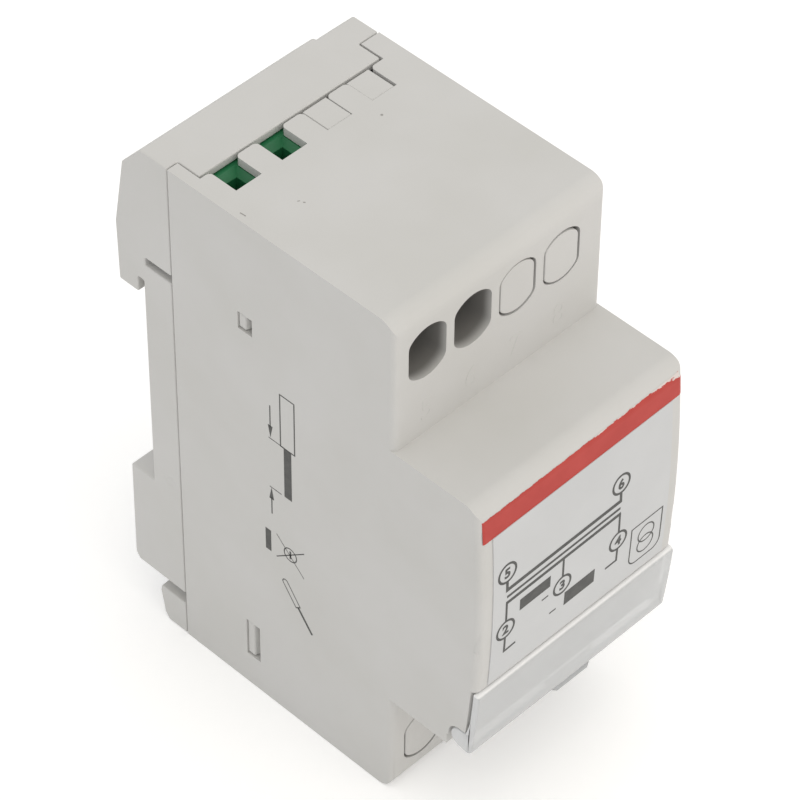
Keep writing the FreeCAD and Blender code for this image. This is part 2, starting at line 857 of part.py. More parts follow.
def make_rail_clip():
    body = new_body("rail_clip")
    front = -s.clip_front
    rear = front + s.clip_thickness
    tail_front = front + s.slide_clearance * 3
    plate = box_loop(-s.clip_half, s.clip_half, front, rear)
    add(body, "clip_plate", "XY", [plate], lower_low, plate_top)
    tail = box_loop(-s.hook_half, s.hook_half, tail_front, rear)
    add(body, "clip_tail", "XY", [tail], bottom + s.clip_end, lower_low + s.wall)

    hook_front = s.rail_sheet + s.rail_clearance
    hook_tip = -s.rail_half + s.clip_bite
    hook_rear = s.lower_depth - s.rail_clearance
    hook = [
        (hook_front, plate_top - s.hook_height),
        (hook_rear, plate_top - s.hook_height),
        (hook_rear, plate_top - s.rail_clearance),
        (hook_front + s.rail_sheet / 2, hook_tip),
        (hook_front, hook_tip),
    ]
    add(body, "clip_hook", "YZ", [shape_loop(hook)], -s.hook_half, s.hook_half)

    window_low = bottom + s.post_rise - s.rail_clearance
    window = box_loop(-s.window_half, s.window_half, window_low, spring_top)
    cut(body, "clip_window", "XZ", [window], front - s.wall, rear + s.wall)

    slot_z = bottom + s.clip_end + s.wall * 1.5
    slot = box_loop(-s.hook_half / 2, s.hook_half / 2, slot_z, slot_z + s.wall)
    cut(body, "clip_lever_slot", "XZ", [slot], front - s.wall, rear + s.wall)
    return body


def make_clip_spring():
    """Round wire coil between the base's post and the top of the clip's window."""
    wire = s.spring_wire / 2
    axis_y = -s.clip_front + s.clip_thickness / 2
    rise = spring_length - s.spring_seat * 2
    helix = doc.addObject("Part::Helix", "spring_line")
    bind(helix, "Radius", s.spring_radius)
    bind(helix, "Height", rise)
    bind(helix, "Pitch", rise / s.spring_turns)
    section = doc.addObject("Part::Circle", "spring_section")
    bind(section, "Radius", wire)
    section.Placement = FreeCAD.Placement(
        FreeCAD.Vector(s.spring_radius.value, 0, 0), FreeCAD.Rotation(FreeCAD.Vector(1, 0, 0), 90))
    bind(section, "Placement.Base.x", s.spring_radius)
    sweep = doc.addObject("Part::Sweep", "clip_spring")
    sweep.Label = "clip_spring"
    sweep.Sections = [section]
    sweep.Spine = (helix, ["Edge1"])
    sweep.Solid = True
    sweep.Frenet = True
    bind(sweep, "Placement.Base.y", axis_y)
    bind(sweep, "Placement.Base.z", post_top + s.spring_seat)
    return sweep


# Clear label flap

def make_label_flap():
    body = new_body("label_flap")
    inner = -s.flap_sunk
    outer = s.flap_proud
    lip = outer / 4
    shoulder_z = flap_top - s.flap_chamfer
    plate = [
        (crown(flap_top, inner), flap_top),
        (crown(flap_top, lip), flap_top),
        (crown(shoulder_z, outer), shoulder_z),
        (crown(flap_end, outer), flap_end),
        (crown(flap_end, inner), flap_end),
    ]
    arcs = {2: (s.crown_radius + outer, 1), 4: (s.crown_radius + inner, -1)}
    side = half - s.flap_inset
    add(body, "flap_plate", "YZ", [shape_loop(plate, arcs)], -side, side)

    # Grip on the lower edge
    left = s.tab_shift - s.tab_width / 2
    right = s.tab_shift + s.tab_width / 2
    grip = [
        (left, flap_end),
        (left + s.tab_slope, flap_end - s.tab_drop),
        (right - s.tab_slope, flap_end - s.tab_drop),
        (right, flap_end),
        (right, flap_end + s.tab_drop),
        (left, flap_end + s.tab_drop),
    ]
    grip_front = crown(flap_end, outer)
    grip_rear = crown(flap_end, inner)
    add(body, "flap_grip", "XZ", [shape_loop(grip)], grip_front, grip_rear)

    # Ears that reach back to the pivots
    plate_y = crown(pivot_z, 0)
    ear = [
        (pivot_y, pivot_z + s.ear_radius),
        (plate_y, pivot_z + s.ear_radius),
        (plate_y, pivot_z - s.ear_radius),
        (pivot_y, pivot_z - s.ear_radius),
        (pivot_y + s.ear_radius, pivot_z),
    ]
    ear_start = -half + s.rail_clearance / 4
    ear_end = ear_start + s.ear_thickness
    ear_arc = {3: (s.ear_radius, 1), 4: (s.ear_radius, 1)}
    lobe = add(body, "flap_ear", "YZ", [shape_loop(ear, ear_arc)], ear_start, ear_end)
    pin_loop = circle_loop(pivot_y, pivot_z, s.pin_radius)
    pin = add(body, "flap_pin", "YZ", [pin_loop], ear_end - s.ear_thickness / 2, ear_end + s.pin_length)
    mirror_sideways(body, "flap_ears", [lobe, pin])
    return body


def make_front_print(name, low, high, inset):
    """Thin printed sheet that lies on the hood's curved front."""
    body = new_body(name)
    sheet_outline = [
        (crown(low, 0), low),
        (crown(high, 0), high),
        (crown(high, s.print_thickness), high),
        (crown(low, s.print_thickness), low),
    ]
    arcs = {0: (s.crown_radius, -1), 2: (s.crown_radius + s.print_thickness, 1)}
    edge = half - inset
    add(body, f"{name}_sheet", "YZ", [shape_loop(sheet_outline, arcs)], -edge, edge)
    return body


# Terminals

def row_face(outward):
    """Outer face of a terminal block: under the top wall, or over the bottom wall."""
    if outward > 0:
        return top - s.entry_wall - s.block_gap
    return bottom + s.entry_wall + s.block_gap


def span(one, other):
    """Two levels in rising order."""
    one = as_size(one)
    other = as_size(other)
    return (one, other) if one.value < other.value else (other, one)


def make_terminal_block(name, columns, row, outward):
    body = new_body(name)
    face = row_face(outward)
    inside = face - s.block_height * outward
    low, high = span(face, inside)
    left = column(columns[0]) - s.block_margin
    right = column(columns[-1]) + s.block_margin
    add(body, f"{name}_block", "XZ", [box_loop(left, right, low, high)], block_front, board_front)

    chamber_rear = cage_rear + s.slide_clearance * 2
    chamber_out = row + chamber_half * outward
    for number in columns:
        centre = column(number)
        room = box_loop(
            centre - chamber_half, centre + chamber_half,
            row - chamber_half, row + chamber_half)
        cut(body, f"{name}_chamber_{number}", "XZ", [room], block_front - s.wall, chamber_rear)

        # Wire funnel: narrows from its mouth in the face to a throat that leads to the chamber
        mouth = box_loop(
            centre - s.funnel_half, centre + s.funnel_half,
            wire_y - s.funnel_deep / 2, wire_y + s.funnel_deep / 2)
        throat = box_loop(
            centre - s.throat_half, centre + s.throat_half,
            wire_y - s.throat_deep / 2, wire_y + s.throat_deep / 2)
        step = face - s.funnel_depth * outward
        cut_funnel(body, f"{name}_funnel_{number}", (mouth, face), (throat, step))
        low_throat, high_throat = span(
            chamber_out - s.wall / 2 * outward,
            step + s.funnel_depth / 2 * outward)
        cut(body, f"{name}_throat_{number}", "XY", [throat], low_throat, high_throat)

        # Way for the contact bar's tail and solder pin
        tail_low, tail_high = span(
            row - chamber_half / 2 * outward,
            contact_end(row, outward) - s.slide_clearance * outward)
        tail = box_loop(
            centre - s.bar_half - s.slide_clearance, centre + s.bar_half + s.slide_clearance,
            tail_low, tail_high)
        cut(body, f"{name}_tail_{number}", "XZ", [tail], bar_front - s.slide_clearance, board_front + s.wall)
    return body


def make_contacts(name, columns, row, outward):
    """Contact bar of each terminal, with a solder pin through the board."""
    parts = []
    for number in columns:
        centre = column(number)
        bar_out = row + s.cage_tall * outward
        tail_end = contact_end(row, outward)
        low, high = span(bar_out, tail_end)
        bar = doc.addObject("Part::Box", f"{name}_bar_{number}")
        bind(bar, "Length", s.bar_half * 2)
        bind(bar, "Width", s.bar_thickness)
        bind(bar, "Height", high - low)
        bind(bar, "Placement.Base.x", centre - s.bar_half)
        bind(bar, "Placement.Base.y", bar_front)
        bind(bar, "Placement.Base.z", low)
        pin_low, pin_high = span(tail_end, tail_end + s.pin_size * outward)
        pin = doc.addObject("Part::Box", f"{name}_pin_{number}")
        bind(pin, "Length", s.pin_size)
        bind(pin, "Width", board_rear - bar_front + s.pin_size)
        bind(pin, "Height", pin_high - pin_low)
        bind(pin, "Placement.Base.x", centre - s.pin_size / 2)
        bind(pin, "Placement.Base.y", bar_front)
        bind(pin, "Placement.Base.z", pin_low)
        contact = doc.addObject("Part::MultiFuse", f"{name}_contact_{number}")
        contact.Shapes = [bar, pin]
        parts.append(contact)
    group = doc.addObject("Part::Compound", name)
    group.Label = name
    group.Links = parts
    return group


def make_terminal_screw(name, centre, row):
    """Round-headed screw with a cross slot, its tip on the contact bar."""
    body = new_body(name)
    front = -s.screw_length - s.screw_head_height
    add(body, f"{name}_head", "XZ", [circle_loop(0, 0, s.screw_head)], front, -s.screw_length)
    add(body, f"{name}_shank", "XZ", [circle_loop(0, 0, s.screw_shank)], -s.screw_length, 0)

    def head_rim(edge, middle):
        radius = math.hypot(middle.x, middle.z)
        in_front = middle.y < front.value + s.screw_slot_depth.value / 2
        return in_front and radius > s.screw_shank.value
    round_edges(body, f"{name}_dome", s.screw_head_height / 3, head_rim)
    reach = s.screw_head - s.screw_slot_end
    width = s.screw_slot / 2
    slots = [
        box_loop(-reach, reach, -width, width),
        box_loop(-width, width, -reach, reach),
    ]
    for number, slot in enumerate(slots):
        cut(body, f"{name}_slot_{number}", "XZ", [slot], front - s.wall, front + s.screw_slot_depth)
    bind(body, "Placement.Base.x", centre)
    bind(body, "Placement.Base.y", bar_front)
    bind(body, "Placement.Base.z", row)
    return body


def make_wire_clamp(name, centre, row):
    """Cage that the screw draws forward, so that it grips the wire against the bar."""
    body = new_body(name)
    rear = cage_rear - bar_front
    front = rear - s.cage_wall - s.wire_space - s.bar_thickness - s.cage_nut * 2
    frame = [
        box_loop(-cage_half, cage_half, front, rear),
        box_loop(-cage_half + s.cage_wall, cage_half - s.cage_wall, front + s.cage_nut, rear - s.cage_wall),
    ]
    add(body, f"{name}_frame", "XY", frame, -s.cage_tall, s.cage_tall)
    hole = circle_loop(0, 0, s.screw_shank + s.thread_clearance)
    cut(body, f"{name}_thread", "XZ", [hole], front - s.wall, front + s.cage_nut + s.wall / 4)
    bind(body, "Placement.Base.x", centre)
    bind(body, "Placement.Base.y", bar_front)
    bind(body, "Placement.Base.z", row)
    return body


def make_blank_insert(name, centre, row, outward, proud):
    """Insert that closes an unused position: a disc, a stem and a tongue in the wire entry."""
    body = new_body(name)
    gap = s.insert_clearance
    disc_front = shoulder - proud
    disc_rear = shoulder + s.insert_disc
    disc = flat_hole_loop(centre, row, hole_radius - gap, hole_flat - gap, s.hole_ease - gap)
    add(body, f"{name}_disc", "XZ", [disc], disc_front, disc_rear)
    stem_rear = flange_front - s.flange_gap
    stem = box_loop(centre - s.insert_stem, centre + s.insert_stem, row - s.insert_stem, row + s.insert_stem)
    add(body, f"{name}_stem", "XZ", [stem], disc_rear - s.wall / 4, stem_rear)
    half_tongue = s.notch_half - gap
    tongue = box_loop(
        centre - half_tongue, centre + half_tongue,
        flange_front - s.flange_gap - s.notch_depth + s.tongue_gap, stem_rear)
    edge = top if outward > 0 else bottom
    low, high = span(row, edge - s.insert_sink * outward)
    add(body, f"{name}_tongue", "XY", [tongue], low, high)
    return body


def make_circuit_board():
    body = new_body("circuit_board")
    margin = s.board_margin
    board = [box_loop(-half + margin, half - margin, bottom + margin, top - margin)]
    add(body, "board_sheet", "XZ", board, board_front, board_rear)
    reach = (s.pin_size + s.slide_clearance) / 2
    holes = []
    for row in (upper_row, lower_row):
        outward = row["outward"]
        level = contact_end(row["level"], outward) + s.pin_size / 2 * outward
        for number in row["live"].values():
            centre = column(number)
            holes.append(box_loop(centre - reach, centre + reach, level - reach, level + reach))
    for side in (-1, 1):
        for level in (-1, 1):
            holes.append(circle_loop(pin_x() * side, pin_level(level), s.solder_pin + s.insert_clearance))
    cut(body, "board_holes", "XZ", holes, board_front - s.wall, board_rear + s.wall)
    return body


# Core, bobbin and windings

def window_length():
    """Free length of the core's windows, along the centre leg."""
    return core_height - s.core_yoke * 2


def flange_half():
    """Half the bobbin's height."""
    return window_length() / 2 - s.bobbin_clearance


def pin_x():
    """Sideways place of the bobbin's solder pins, clear of the core's stack."""
    return s.core_stack / 2 + s.bobbin_clearance + coil_build / 2


def pin_level(level):
    """Height of the bobbin's solder pins: at the end of its lower or its upper flange."""
    return core_z + flange_half() * level


def make_laminated_core():
    """Stack of sheets with two windows, the middle leg standing upright."""
    body = new_body("laminated_core")
    window_half_height = window_length() / 2
    near = core_y + s.core_leg / 2
    far = core_y - s.core_leg / 2
    loops = [
        box_loop(core_front, core_rear, core_z - core_height / 2, core_z + core_height / 2),
        box_loop(near, core_rear - side_leg, core_z - window_half_height, core_z + window_half_height),
        box_loop(core_front + side_leg, far, core_z - window_half_height, core_z + window_half_height),
    ]
    add(body, "core_stack_sheets", "YZ", loops, -s.core_stack / 2, s.core_stack / 2)
    return body


def make_bobbin():
    """Two-chamber bobbin round the middle leg, with lugs that carry the solder pins."""
    body = new_body("bobbin")
    gap = s.bobbin_clearance
    tube_x = s.core_stack / 2 + gap + s.bobbin_wall
    tube_y = s.core_leg / 2 + gap + s.bobbin_wall
    flange_x = tube_x + coil_build
    flange_y = s.core_width / 2 - side_leg - gap
    tube = box_loop(-tube_x, tube_x, core_y - tube_y, core_y + tube_y)
    add(body, "bobbin_tube", "XY", [tube], core_z - flange_half(), core_z + flange_half())
    flange = box_loop(-flange_x, flange_x, core_y - flange_y, core_y + flange_y)
    levels = [
        core_z - flange_half(),
        core_z - s.bobbin_flange / 2,
        core_z + flange_half() - s.bobbin_flange,
    ]
    for number, level in enumerate(levels):
        add(body, f"bobbin_flange_{number}", "XY", [flange], level, level + s.bobbin_flange)
    lug_front = core_y + flange_y - s.bobbin_flange
    lug_rear = core_rear + s.wall
    lugs = [
        box_loop(pin_x() - s.wall, pin_x() + s.wall, lug_front, lug_rear),
        box_loop(-pin_x() - s.wall, -pin_x() + s.wall, lug_front, lug_rear),
    ]
    for number, level in enumerate((-1, 1)):
        middle = pin_level(level)
        add(body, f"bobbin_lug_{number}", "XY", lugs, middle - s.bobbin_flange, middle + s.bobbin_flange)
    leg = box_loop(
        -s.core_stack / 2 - gap, s.core_stack / 2 + gap,
        core_y - s.core_leg / 2 - gap, core_y + s.core_leg / 2 + gap)
    reach = flange_half() + s.wall
    cut(body, "bobbin_bore", "XY", [leg], core_z - reach, core_z + reach)
    return body


def make_winding(name, level, inner_add, build):
    """Ring of wire or tape in one of the bobbin's two chambers."""
    body = new_body(name)
    gap = s.bobbin_clearance
    tube_x = s.core_stack / 2 + gap + s.bobbin_wall + inner_add
    tube_y = s.core_leg / 2 + gap + s.bobbin_wall + inner_add
    loops = [
        box_loop(-tube_x - build, tube_x + build, core_y - tube_y - build, core_y + tube_y + build),
        box_loop(-tube_x, tube_x, core_y - tube_y, core_y + tube_y),
    ]
    chamber_near = s.bobbin_flange / 2
    chamber_far = flange_half() - s.bobbin_flange
    if level > 0:
        low, high = core_z + chamber_near, core_z + chamber_far
    else:
        low, high = core_z - chamber_far, core_z - chamber_near
    add(body, f"{name}_ring", "XY", loops, low, high)
    return body


def make_bobbin_pins():
    """Solder pins from the bobbin's lugs to the board."""
    parts = []
    start = core_rear + s.wall
    for side in (-1, 1):
        hand = "left" if side < 0 else "right"
        for level in (-1, 1):
            pin = doc.addObject("Part::Cylinder", f"bobbin_pin_{hand}_{level + 1}")
            bind(pin, "Radius", s.solder_pin)
            bind(pin, "Height", board_rear + s.pin_size - start)
            pin.Placement = FreeCAD.Placement(
                FreeCAD.Vector(0, 0, 0), FreeCAD.Rotation(FreeCAD.Vector(1, 0, 0), -90))
            bind(pin, "Placement.Base.x", pin_x() * side)
            bind(pin, "Placement.Base.y", start)
            bind(pin, "Placement.Base.z", pin_level(level))
            parts.append(pin)
    group = doc.addObject("Part::Compound", "bobbin_pins")
    group.Label = "bobbin_pins"
    group.Links = parts
    return group


def make_thermal_fuse():
    """Disc-shaped cut-out on the board, between the windings and the upper terminals."""
    fuse = doc.addObject("Part::Cylinder", "thermal_fuse")
    fuse.Label = "thermal_fuse"
    bind(fuse, "Radius", s.fuse_radius)
    bind(fuse, "Height", s.fuse_thickness)
    fuse.Placement = FreeCAD.Placement(
        FreeCAD.Vector(0, 0, 0), FreeCAD.Rotation(FreeCAD.Vector(1, 0, 0), -90))
    bind(fuse, "Placement.Base.x", column(2))
    bind(fuse, "Placement.Base.y", board_front - s.fuse_thickness)
    bind(fuse, "Placement.Base.z", core_z + core_height / 2 + s.fuse_radius)
    return fuse


# The assembly

pieces = [
    make_front_cover(),
    make_rear_base(),
    make_rail_clip(),
    make_clip_spring(),
    make_label_flap(),
    make_front_print("front_label", label_low, band_low, s.label_inset),
    make_front_print("front_band", band_low, band_high, s.band_inset),
    make_circuit_board(),
    make_laminated_core(),
    make_bobbin(),
    make_winding("primary_winding", 1, as_size(0), winding_build),
    make_winding("secondary_winding", -1, as_size(0), winding_build),
    make_winding("primary_tape", 1, winding_build, s.tape_thickness),
    make_winding("secondary_tape", -1, winding_build, s.tape_thickness),
    make_bobbin_pins(),
    make_thermal_fuse(),
]
for row in (upper_row, lower_row):
    level = row["level"]
    columns = list(row["live"].values())
    pieces.append(make_terminal_block(f"terminal_block_{row['name']}", columns, level, row["outward"]))
    pieces.append(make_contacts(f"terminal_contacts_{row['name']}", columns, level, row["outward"]))
    for number, place in row["live"].items():
        pieces.append(make_terminal_screw(f"terminal_screw_{number}", column(place), level))
        pieces.append(make_wire_clamp(f"wire_clamp_{number}", column(place), level))
pieces.append(make_blank_insert("blank_insert_1", column(0), row_low, -1, as_size(0)))
pieces.append(make_blank_insert("blank_insert_7", column(2), row_high, 1, as_size(0)))
pieces.append(make_blank_insert("blank_insert_8", column(3), row_high, 1, s.insert_proud))

doc.recompute()

for item in doc.Objects:
    bad = {"Invalid", "Error"}.intersection(item.State)
    if bad:
        raise RuntimeError(f"{item.Name}: {item.State}")
for piece in pieces:
    if piece.Shape.isNull() or not piece.Shape.isValid():
        raise RuntimeError(f"{piece.Label} has no valid shape")
for piece in pieces:
    piece.Shape.exportStep(f"parts/{piece.Label}.step")
    print(piece.Label, len(piece.Shape.Solids), round(piece.Shape.Volume, 1))
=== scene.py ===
import json
import bmesh
import bpy
import numpy as np
from mathutils import Matrix


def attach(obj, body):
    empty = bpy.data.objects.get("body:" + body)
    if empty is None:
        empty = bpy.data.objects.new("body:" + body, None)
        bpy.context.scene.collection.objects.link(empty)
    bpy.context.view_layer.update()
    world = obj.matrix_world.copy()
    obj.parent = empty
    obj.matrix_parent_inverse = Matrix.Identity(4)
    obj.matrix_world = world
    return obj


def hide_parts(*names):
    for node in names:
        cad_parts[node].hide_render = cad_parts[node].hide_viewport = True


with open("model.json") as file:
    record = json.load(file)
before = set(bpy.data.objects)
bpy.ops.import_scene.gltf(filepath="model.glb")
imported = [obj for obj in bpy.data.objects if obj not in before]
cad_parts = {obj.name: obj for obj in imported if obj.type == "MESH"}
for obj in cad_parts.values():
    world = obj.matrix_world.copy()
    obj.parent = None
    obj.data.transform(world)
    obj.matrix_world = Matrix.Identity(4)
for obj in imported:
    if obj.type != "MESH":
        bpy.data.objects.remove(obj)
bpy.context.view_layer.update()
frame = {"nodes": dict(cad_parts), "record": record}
nodes = frame["nodes"]
mm = 0.001
print("stage: frame loaded,", len(nodes), "nodes")

# Faces of the housing that printed and raised marks lie on, in millimetres
housing = {
    "half": 17.9,
    "shoulderY": -43.5,
    "floorZ": -43.5,
    "edgeRound": 1.0,
    "crownY": 141.9,
    "crownZ": 1.0,
    "crownRadius": 200.0,
    "topZ": 39.9,
}


def paint(red, green, blue):
    # screen values 0 to 255 turned into linear light: x/12.92 near black, else ((x+0.055)/1.055)^2.4
    share = np.array([red, green, blue]) / 255.0
    linear = np.where(share < 0.04045, share / 12.92, ((share + 0.055) / 1.055) ** 2.4)
    return (*[float(v) for v in linear], 1.0)


def hoodFront(z, lift):
    # the hood's front is an arc: its depth is the arc's centre less the leg of a right triangle
    reach = housing["crownRadius"] + lift
    return housing["crownY"] - np.sqrt(reach ** 2 - (z - housing["crownZ"]) ** 2)


# Materials. A term below is a plain value, or a node with the name or number of its output

def newNode(material, kind, **values):
    node = material.node_tree.nodes.new(kind)
    for key, value in values.items():
        if hasattr(node, key):
            setattr(node, key, value)
        else:
            node.inputs[key].default_value = value
    return node


def findNode(material, kind):
    return next(node for node in material.node_tree.nodes if node.type == kind)


def feed(material, term, node, entry):
    if isinstance(term, tuple) and isinstance(term[0], bpy.types.Node):
        material.node_tree.links.new(term[0].outputs[term[1]], node.inputs[entry])
    else:
        node.inputs[entry].default_value = term


def reckon(material, operation, *terms):
    node = newNode(material, "ShaderNodeMath", operation=operation)
    for entry, term in enumerate(terms):
        feed(material, term, node, entry)
    return node, "Value"


def ramp(material, term, low, high, ends=(0.0, 1.0), kind="SMOOTHSTEP"):
    # goes from one end value to the other while the term goes from low to high
    node = newNode(material, "ShaderNodeMapRange", interpolation_type=kind)
    for entry, value in zip(("From Min", "From Max", "To Min", "To Max"), (low, high, *ends)):
        node.inputs[entry].default_value = value
    feed(material, term, node, "Value")
    return node, "Result"


def blend(material, share, first, second, kind="MIX"):
    # inputs 6 and 7 and output 2 are the node's colours
    node = newNode(material, "ShaderNodeMix", data_type="RGBA", blend_type=kind)
    for entry, term in ((0, share), (6, first), (7, second)):
        feed(material, term, node, entry)
    return node, 2


def shaderOf(material):
    return material.node_tree.nodes["Principled BSDF"]


def objectPlace(material):
    return findNode(material, "TEX_COORD"), "Object"


def axisPlaces(material):
    parts = newNode(material, "ShaderNodeSeparateXYZ")
    feed(material, objectPlace(material), parts, "Vector")
    return [(parts, axis) for axis in "XYZ"]


def tonesOf(material):
    return findNode(material, "VALTORGB"), "Color"


def addDent(material, relief, dent):
    # a soft hollow: height rises with distance from its middle and levels off at its edge
    x, y, z, radius, depth = [value * mm for value in dent]
    away = newNode(material, "ShaderNodeVectorMath", operation="DISTANCE")
    feed(material, objectPlace(material), away, 0)
    feed(material, (x, y, z), away, 1)
    hollow = newNode(material, "ShaderNodeBump", Strength=1.0, Distance=depth)
    feed(material, ramp(material, (away, "Value"), 0.0, radius), hollow, "Height")
    feed(material, (relief, "Normal"), hollow, "Normal")
    return hollow


toneStops = {"dark": 0.36, "light": 0.64}
noises = {"clouds": {"Detail": 3.0, "Roughness": 0.55}, "grain": {"Detail": 2.0},
          "flecks": {"Detail": 4.0, "Roughness": 0.65}}


def moulded(name, look):
    # two close tones in soft clouds, roughness that follows them, and a fine grain as bump
    material = bpy.data.materials.new(name)
    material.use_nodes = True
    shader = shaderOf(material)
    for socket in ("Metallic", "IOR", "Coat Weight", "Coat Roughness", "Specular IOR Level"):
        if socket in look:
            shader.inputs[socket].default_value = look[socket]
    place = newNode(material, "ShaderNodeTexCoord"), "Object"
    stretched = newNode(material, "ShaderNodeMapping", Scale=look.get("stretch", (1, 1, 1)))
    feed(material, place, stretched, "Vector")
    clouds = newNode(material, "ShaderNodeTexNoise", Scale=look["cloudScale"], **noises["clouds"])
    feed(material, (stretched, "Vector"), clouds, "Vector")
    tones = newNode(material, "ShaderNodeValToRGB")
    for element, (tone, position) in zip(tones.color_ramp.elements, toneStops.items()):
        element.position = position
        element.color = look[tone]
    feed(material, (clouds, "Fac"), tones, "Fac")
    feed(material, (tones, "Color"), shader, "Base Color")
    gloss = (look["roughness"] - look["roughnessPlay"], look["roughness"] + look["roughnessPlay"])
    feed(material, ramp(material, (clouds, "Fac"), 0.0, 1.0, gloss, "LINEAR"), shader, "Roughness")
    grain = newNode(material, "ShaderNodeTexNoise", Scale=look["grainScale"], **noises["grain"])
    feed(material, (stretched, "Vector"), grain, "Vector")
    relief = newNode(material, "ShaderNodeBump", Strength=look["grainStrength"],
                     Distance=look["grainDepth"] * mm)
    feed(material, (grain, "Fac"), relief, "Height")
    for dent in look.get("dents", []):
        relief = addDent(material, relief, dent)
    feed(material, (relief, "Normal"), shader, "Normal")
    return material


def ribbed(name, look):
    # moulded finish with even ridges along one axis, for stacked sheets and wound wire
    material = moulded(name, look)
    waves = newNode(material, "ShaderNodeTexWave", wave_type="BANDS", bands_direction=look["ridgeAxis"],
                    Scale=look["ridgeScale"], Distortion=look["ridgeWarp"])
    feed(material, objectPlace(material), waves, "Vector")
    feed(material, (waves, "Fac"), findNode(material, "BUMP"), "Height")
    shade = blend(material, look["ridgeShade"], tonesOf(material), (waves, "Color"), "MULTIPLY")
    feed(material, shade, shaderOf(material), "Base Color")
    return material


def wornBand(name, look):
    # red that thins to the pale film in flecks towards its upper edge and its right end
    material = moulded(name, look)
    x, _, z = axisPlaces(material)
    edge = ramp(material, z, look["wearLow"] * mm, look["wearHigh"] * mm)
    end = ramp(material, x, look["endFrom"] * mm, look["endTo"] * mm)
    under = ramp(material, z, look["endLow"] * mm, look["wearHigh"] * mm)
    stretched = newNode(material, "ShaderNodeMapping", Scale=look["fleckStretch"])
    feed(material, objectPlace(material), stretched, "Vector")
    flecks = newNode(material, "ShaderNodeTexNoise", Scale=look["fleckScale"], **noises["flecks"])
    feed(material, (stretched, "Vector"), flecks, "Vector")
    rubbed = reckon(material, "MAXIMUM", edge, reckon(material, "MULTIPLY", end, under))
    worn = reckon(material, "MULTIPLY", rubbed, (flecks, "Fac"))
    mask = ramp(material, worn, look["fleckFrom"], look["fleckFull"], kind="LINEAR")
    feed(material, blend(material, mask, tonesOf(material), look["film"]), shaderOf(material), "Base Color")
    return material


def clearPlate(name, look):
    # see-through in the field and denser at the rims, where one looks along the plastic; a painted highlight
    # lightens the top rim and painted shade darkens the low rim
    material = moulded(name, look)
    x, _, z = axisPlaces(material)
    beside = reckon(material, "ABSOLUTE", x)
    top, low, side = [ramp(material, place, look[rim][0] * mm, look[rim][1] * mm, kind="LINEAR")
                      for place, rim in ((z, "rimTop"), (z, "rimLow"), (beside, "rimSide"))]
    rims = reckon(material, "MAXIMUM", reckon(material, "MAXIMUM", top, low), side)
    cover = ramp(material, rims, 0.0, 1.0, (look["clear"], look["dense"]), "LINEAR")
    feed(material, cover, shaderOf(material), "Alpha")
    # painted highlight: the top rim turns to a bright colour; painted shade: the low rim turns to a darker
    # colour
    lit = blend(material, top, tonesOf(material), look["paintedHighlight"])
    feed(material, blend(material, low, lit, look["deep"]), shaderOf(material), "Base Color")
    return material


def paintedShadeInWays(name, look):
    # the housing's plastic with painted shade down the screw ways, its colour multiplied darker with depth:
    # the distances from the nearest way's axis use x wrapped to one pitch and the height folded about the
    # middle between the two rows
    material = moulded(name, look)
    ways = look["ways"]
    x, y, z = axisPlaces(material)
    first, pitch, middle = ways["firstX"], ways["pitch"], (ways["highZ"] + ways["lowZ"]) / 2
    held = newNode(material, "ShaderNodeClamp", Min=(first - pitch * ways["before"]) * mm,
                   Max=(first + pitch * ways["beyond"]) * mm)
    feed(material, x, held, "Value")
    wrapped = reckon(material, "WRAP", (held, "Result"), (first + pitch / 2) * mm, (first - pitch / 2) * mm)
    beside = reckon(material, "SUBTRACT", wrapped, first * mm)
    folded = reckon(material, "ABSOLUTE", reckon(material, "SUBTRACT", z, middle * mm))
    above = reckon(material, "SUBTRACT", folded, (ways["highZ"] - middle) * mm)
    near = [reckon(material, "LESS_THAN", reckon(material, "ABSOLUTE", place), reach * mm)
            for place, reach in ((beside, ways["halfWide"]), (above, ways["halfTall"]))]
    depth = ramp(material, y, ways["startY"] * mm, ways["fullY"] * mm)
    within = reckon(material, "MULTIPLY", depth, reckon(material, "LESS_THAN", y, ways["endY"] * mm))
    share = reckon(material, "MULTIPLY", reckon(material, "MULTIPLY", *near), within)
    # painted shade: inside the screw ways the colour is multiplied by the shade colour
    shade = blend(material, share, tonesOf(material), ways["shade"], "MULTIPLY")
    feed(material, shade, shaderOf(material), "Base Color")
    return material


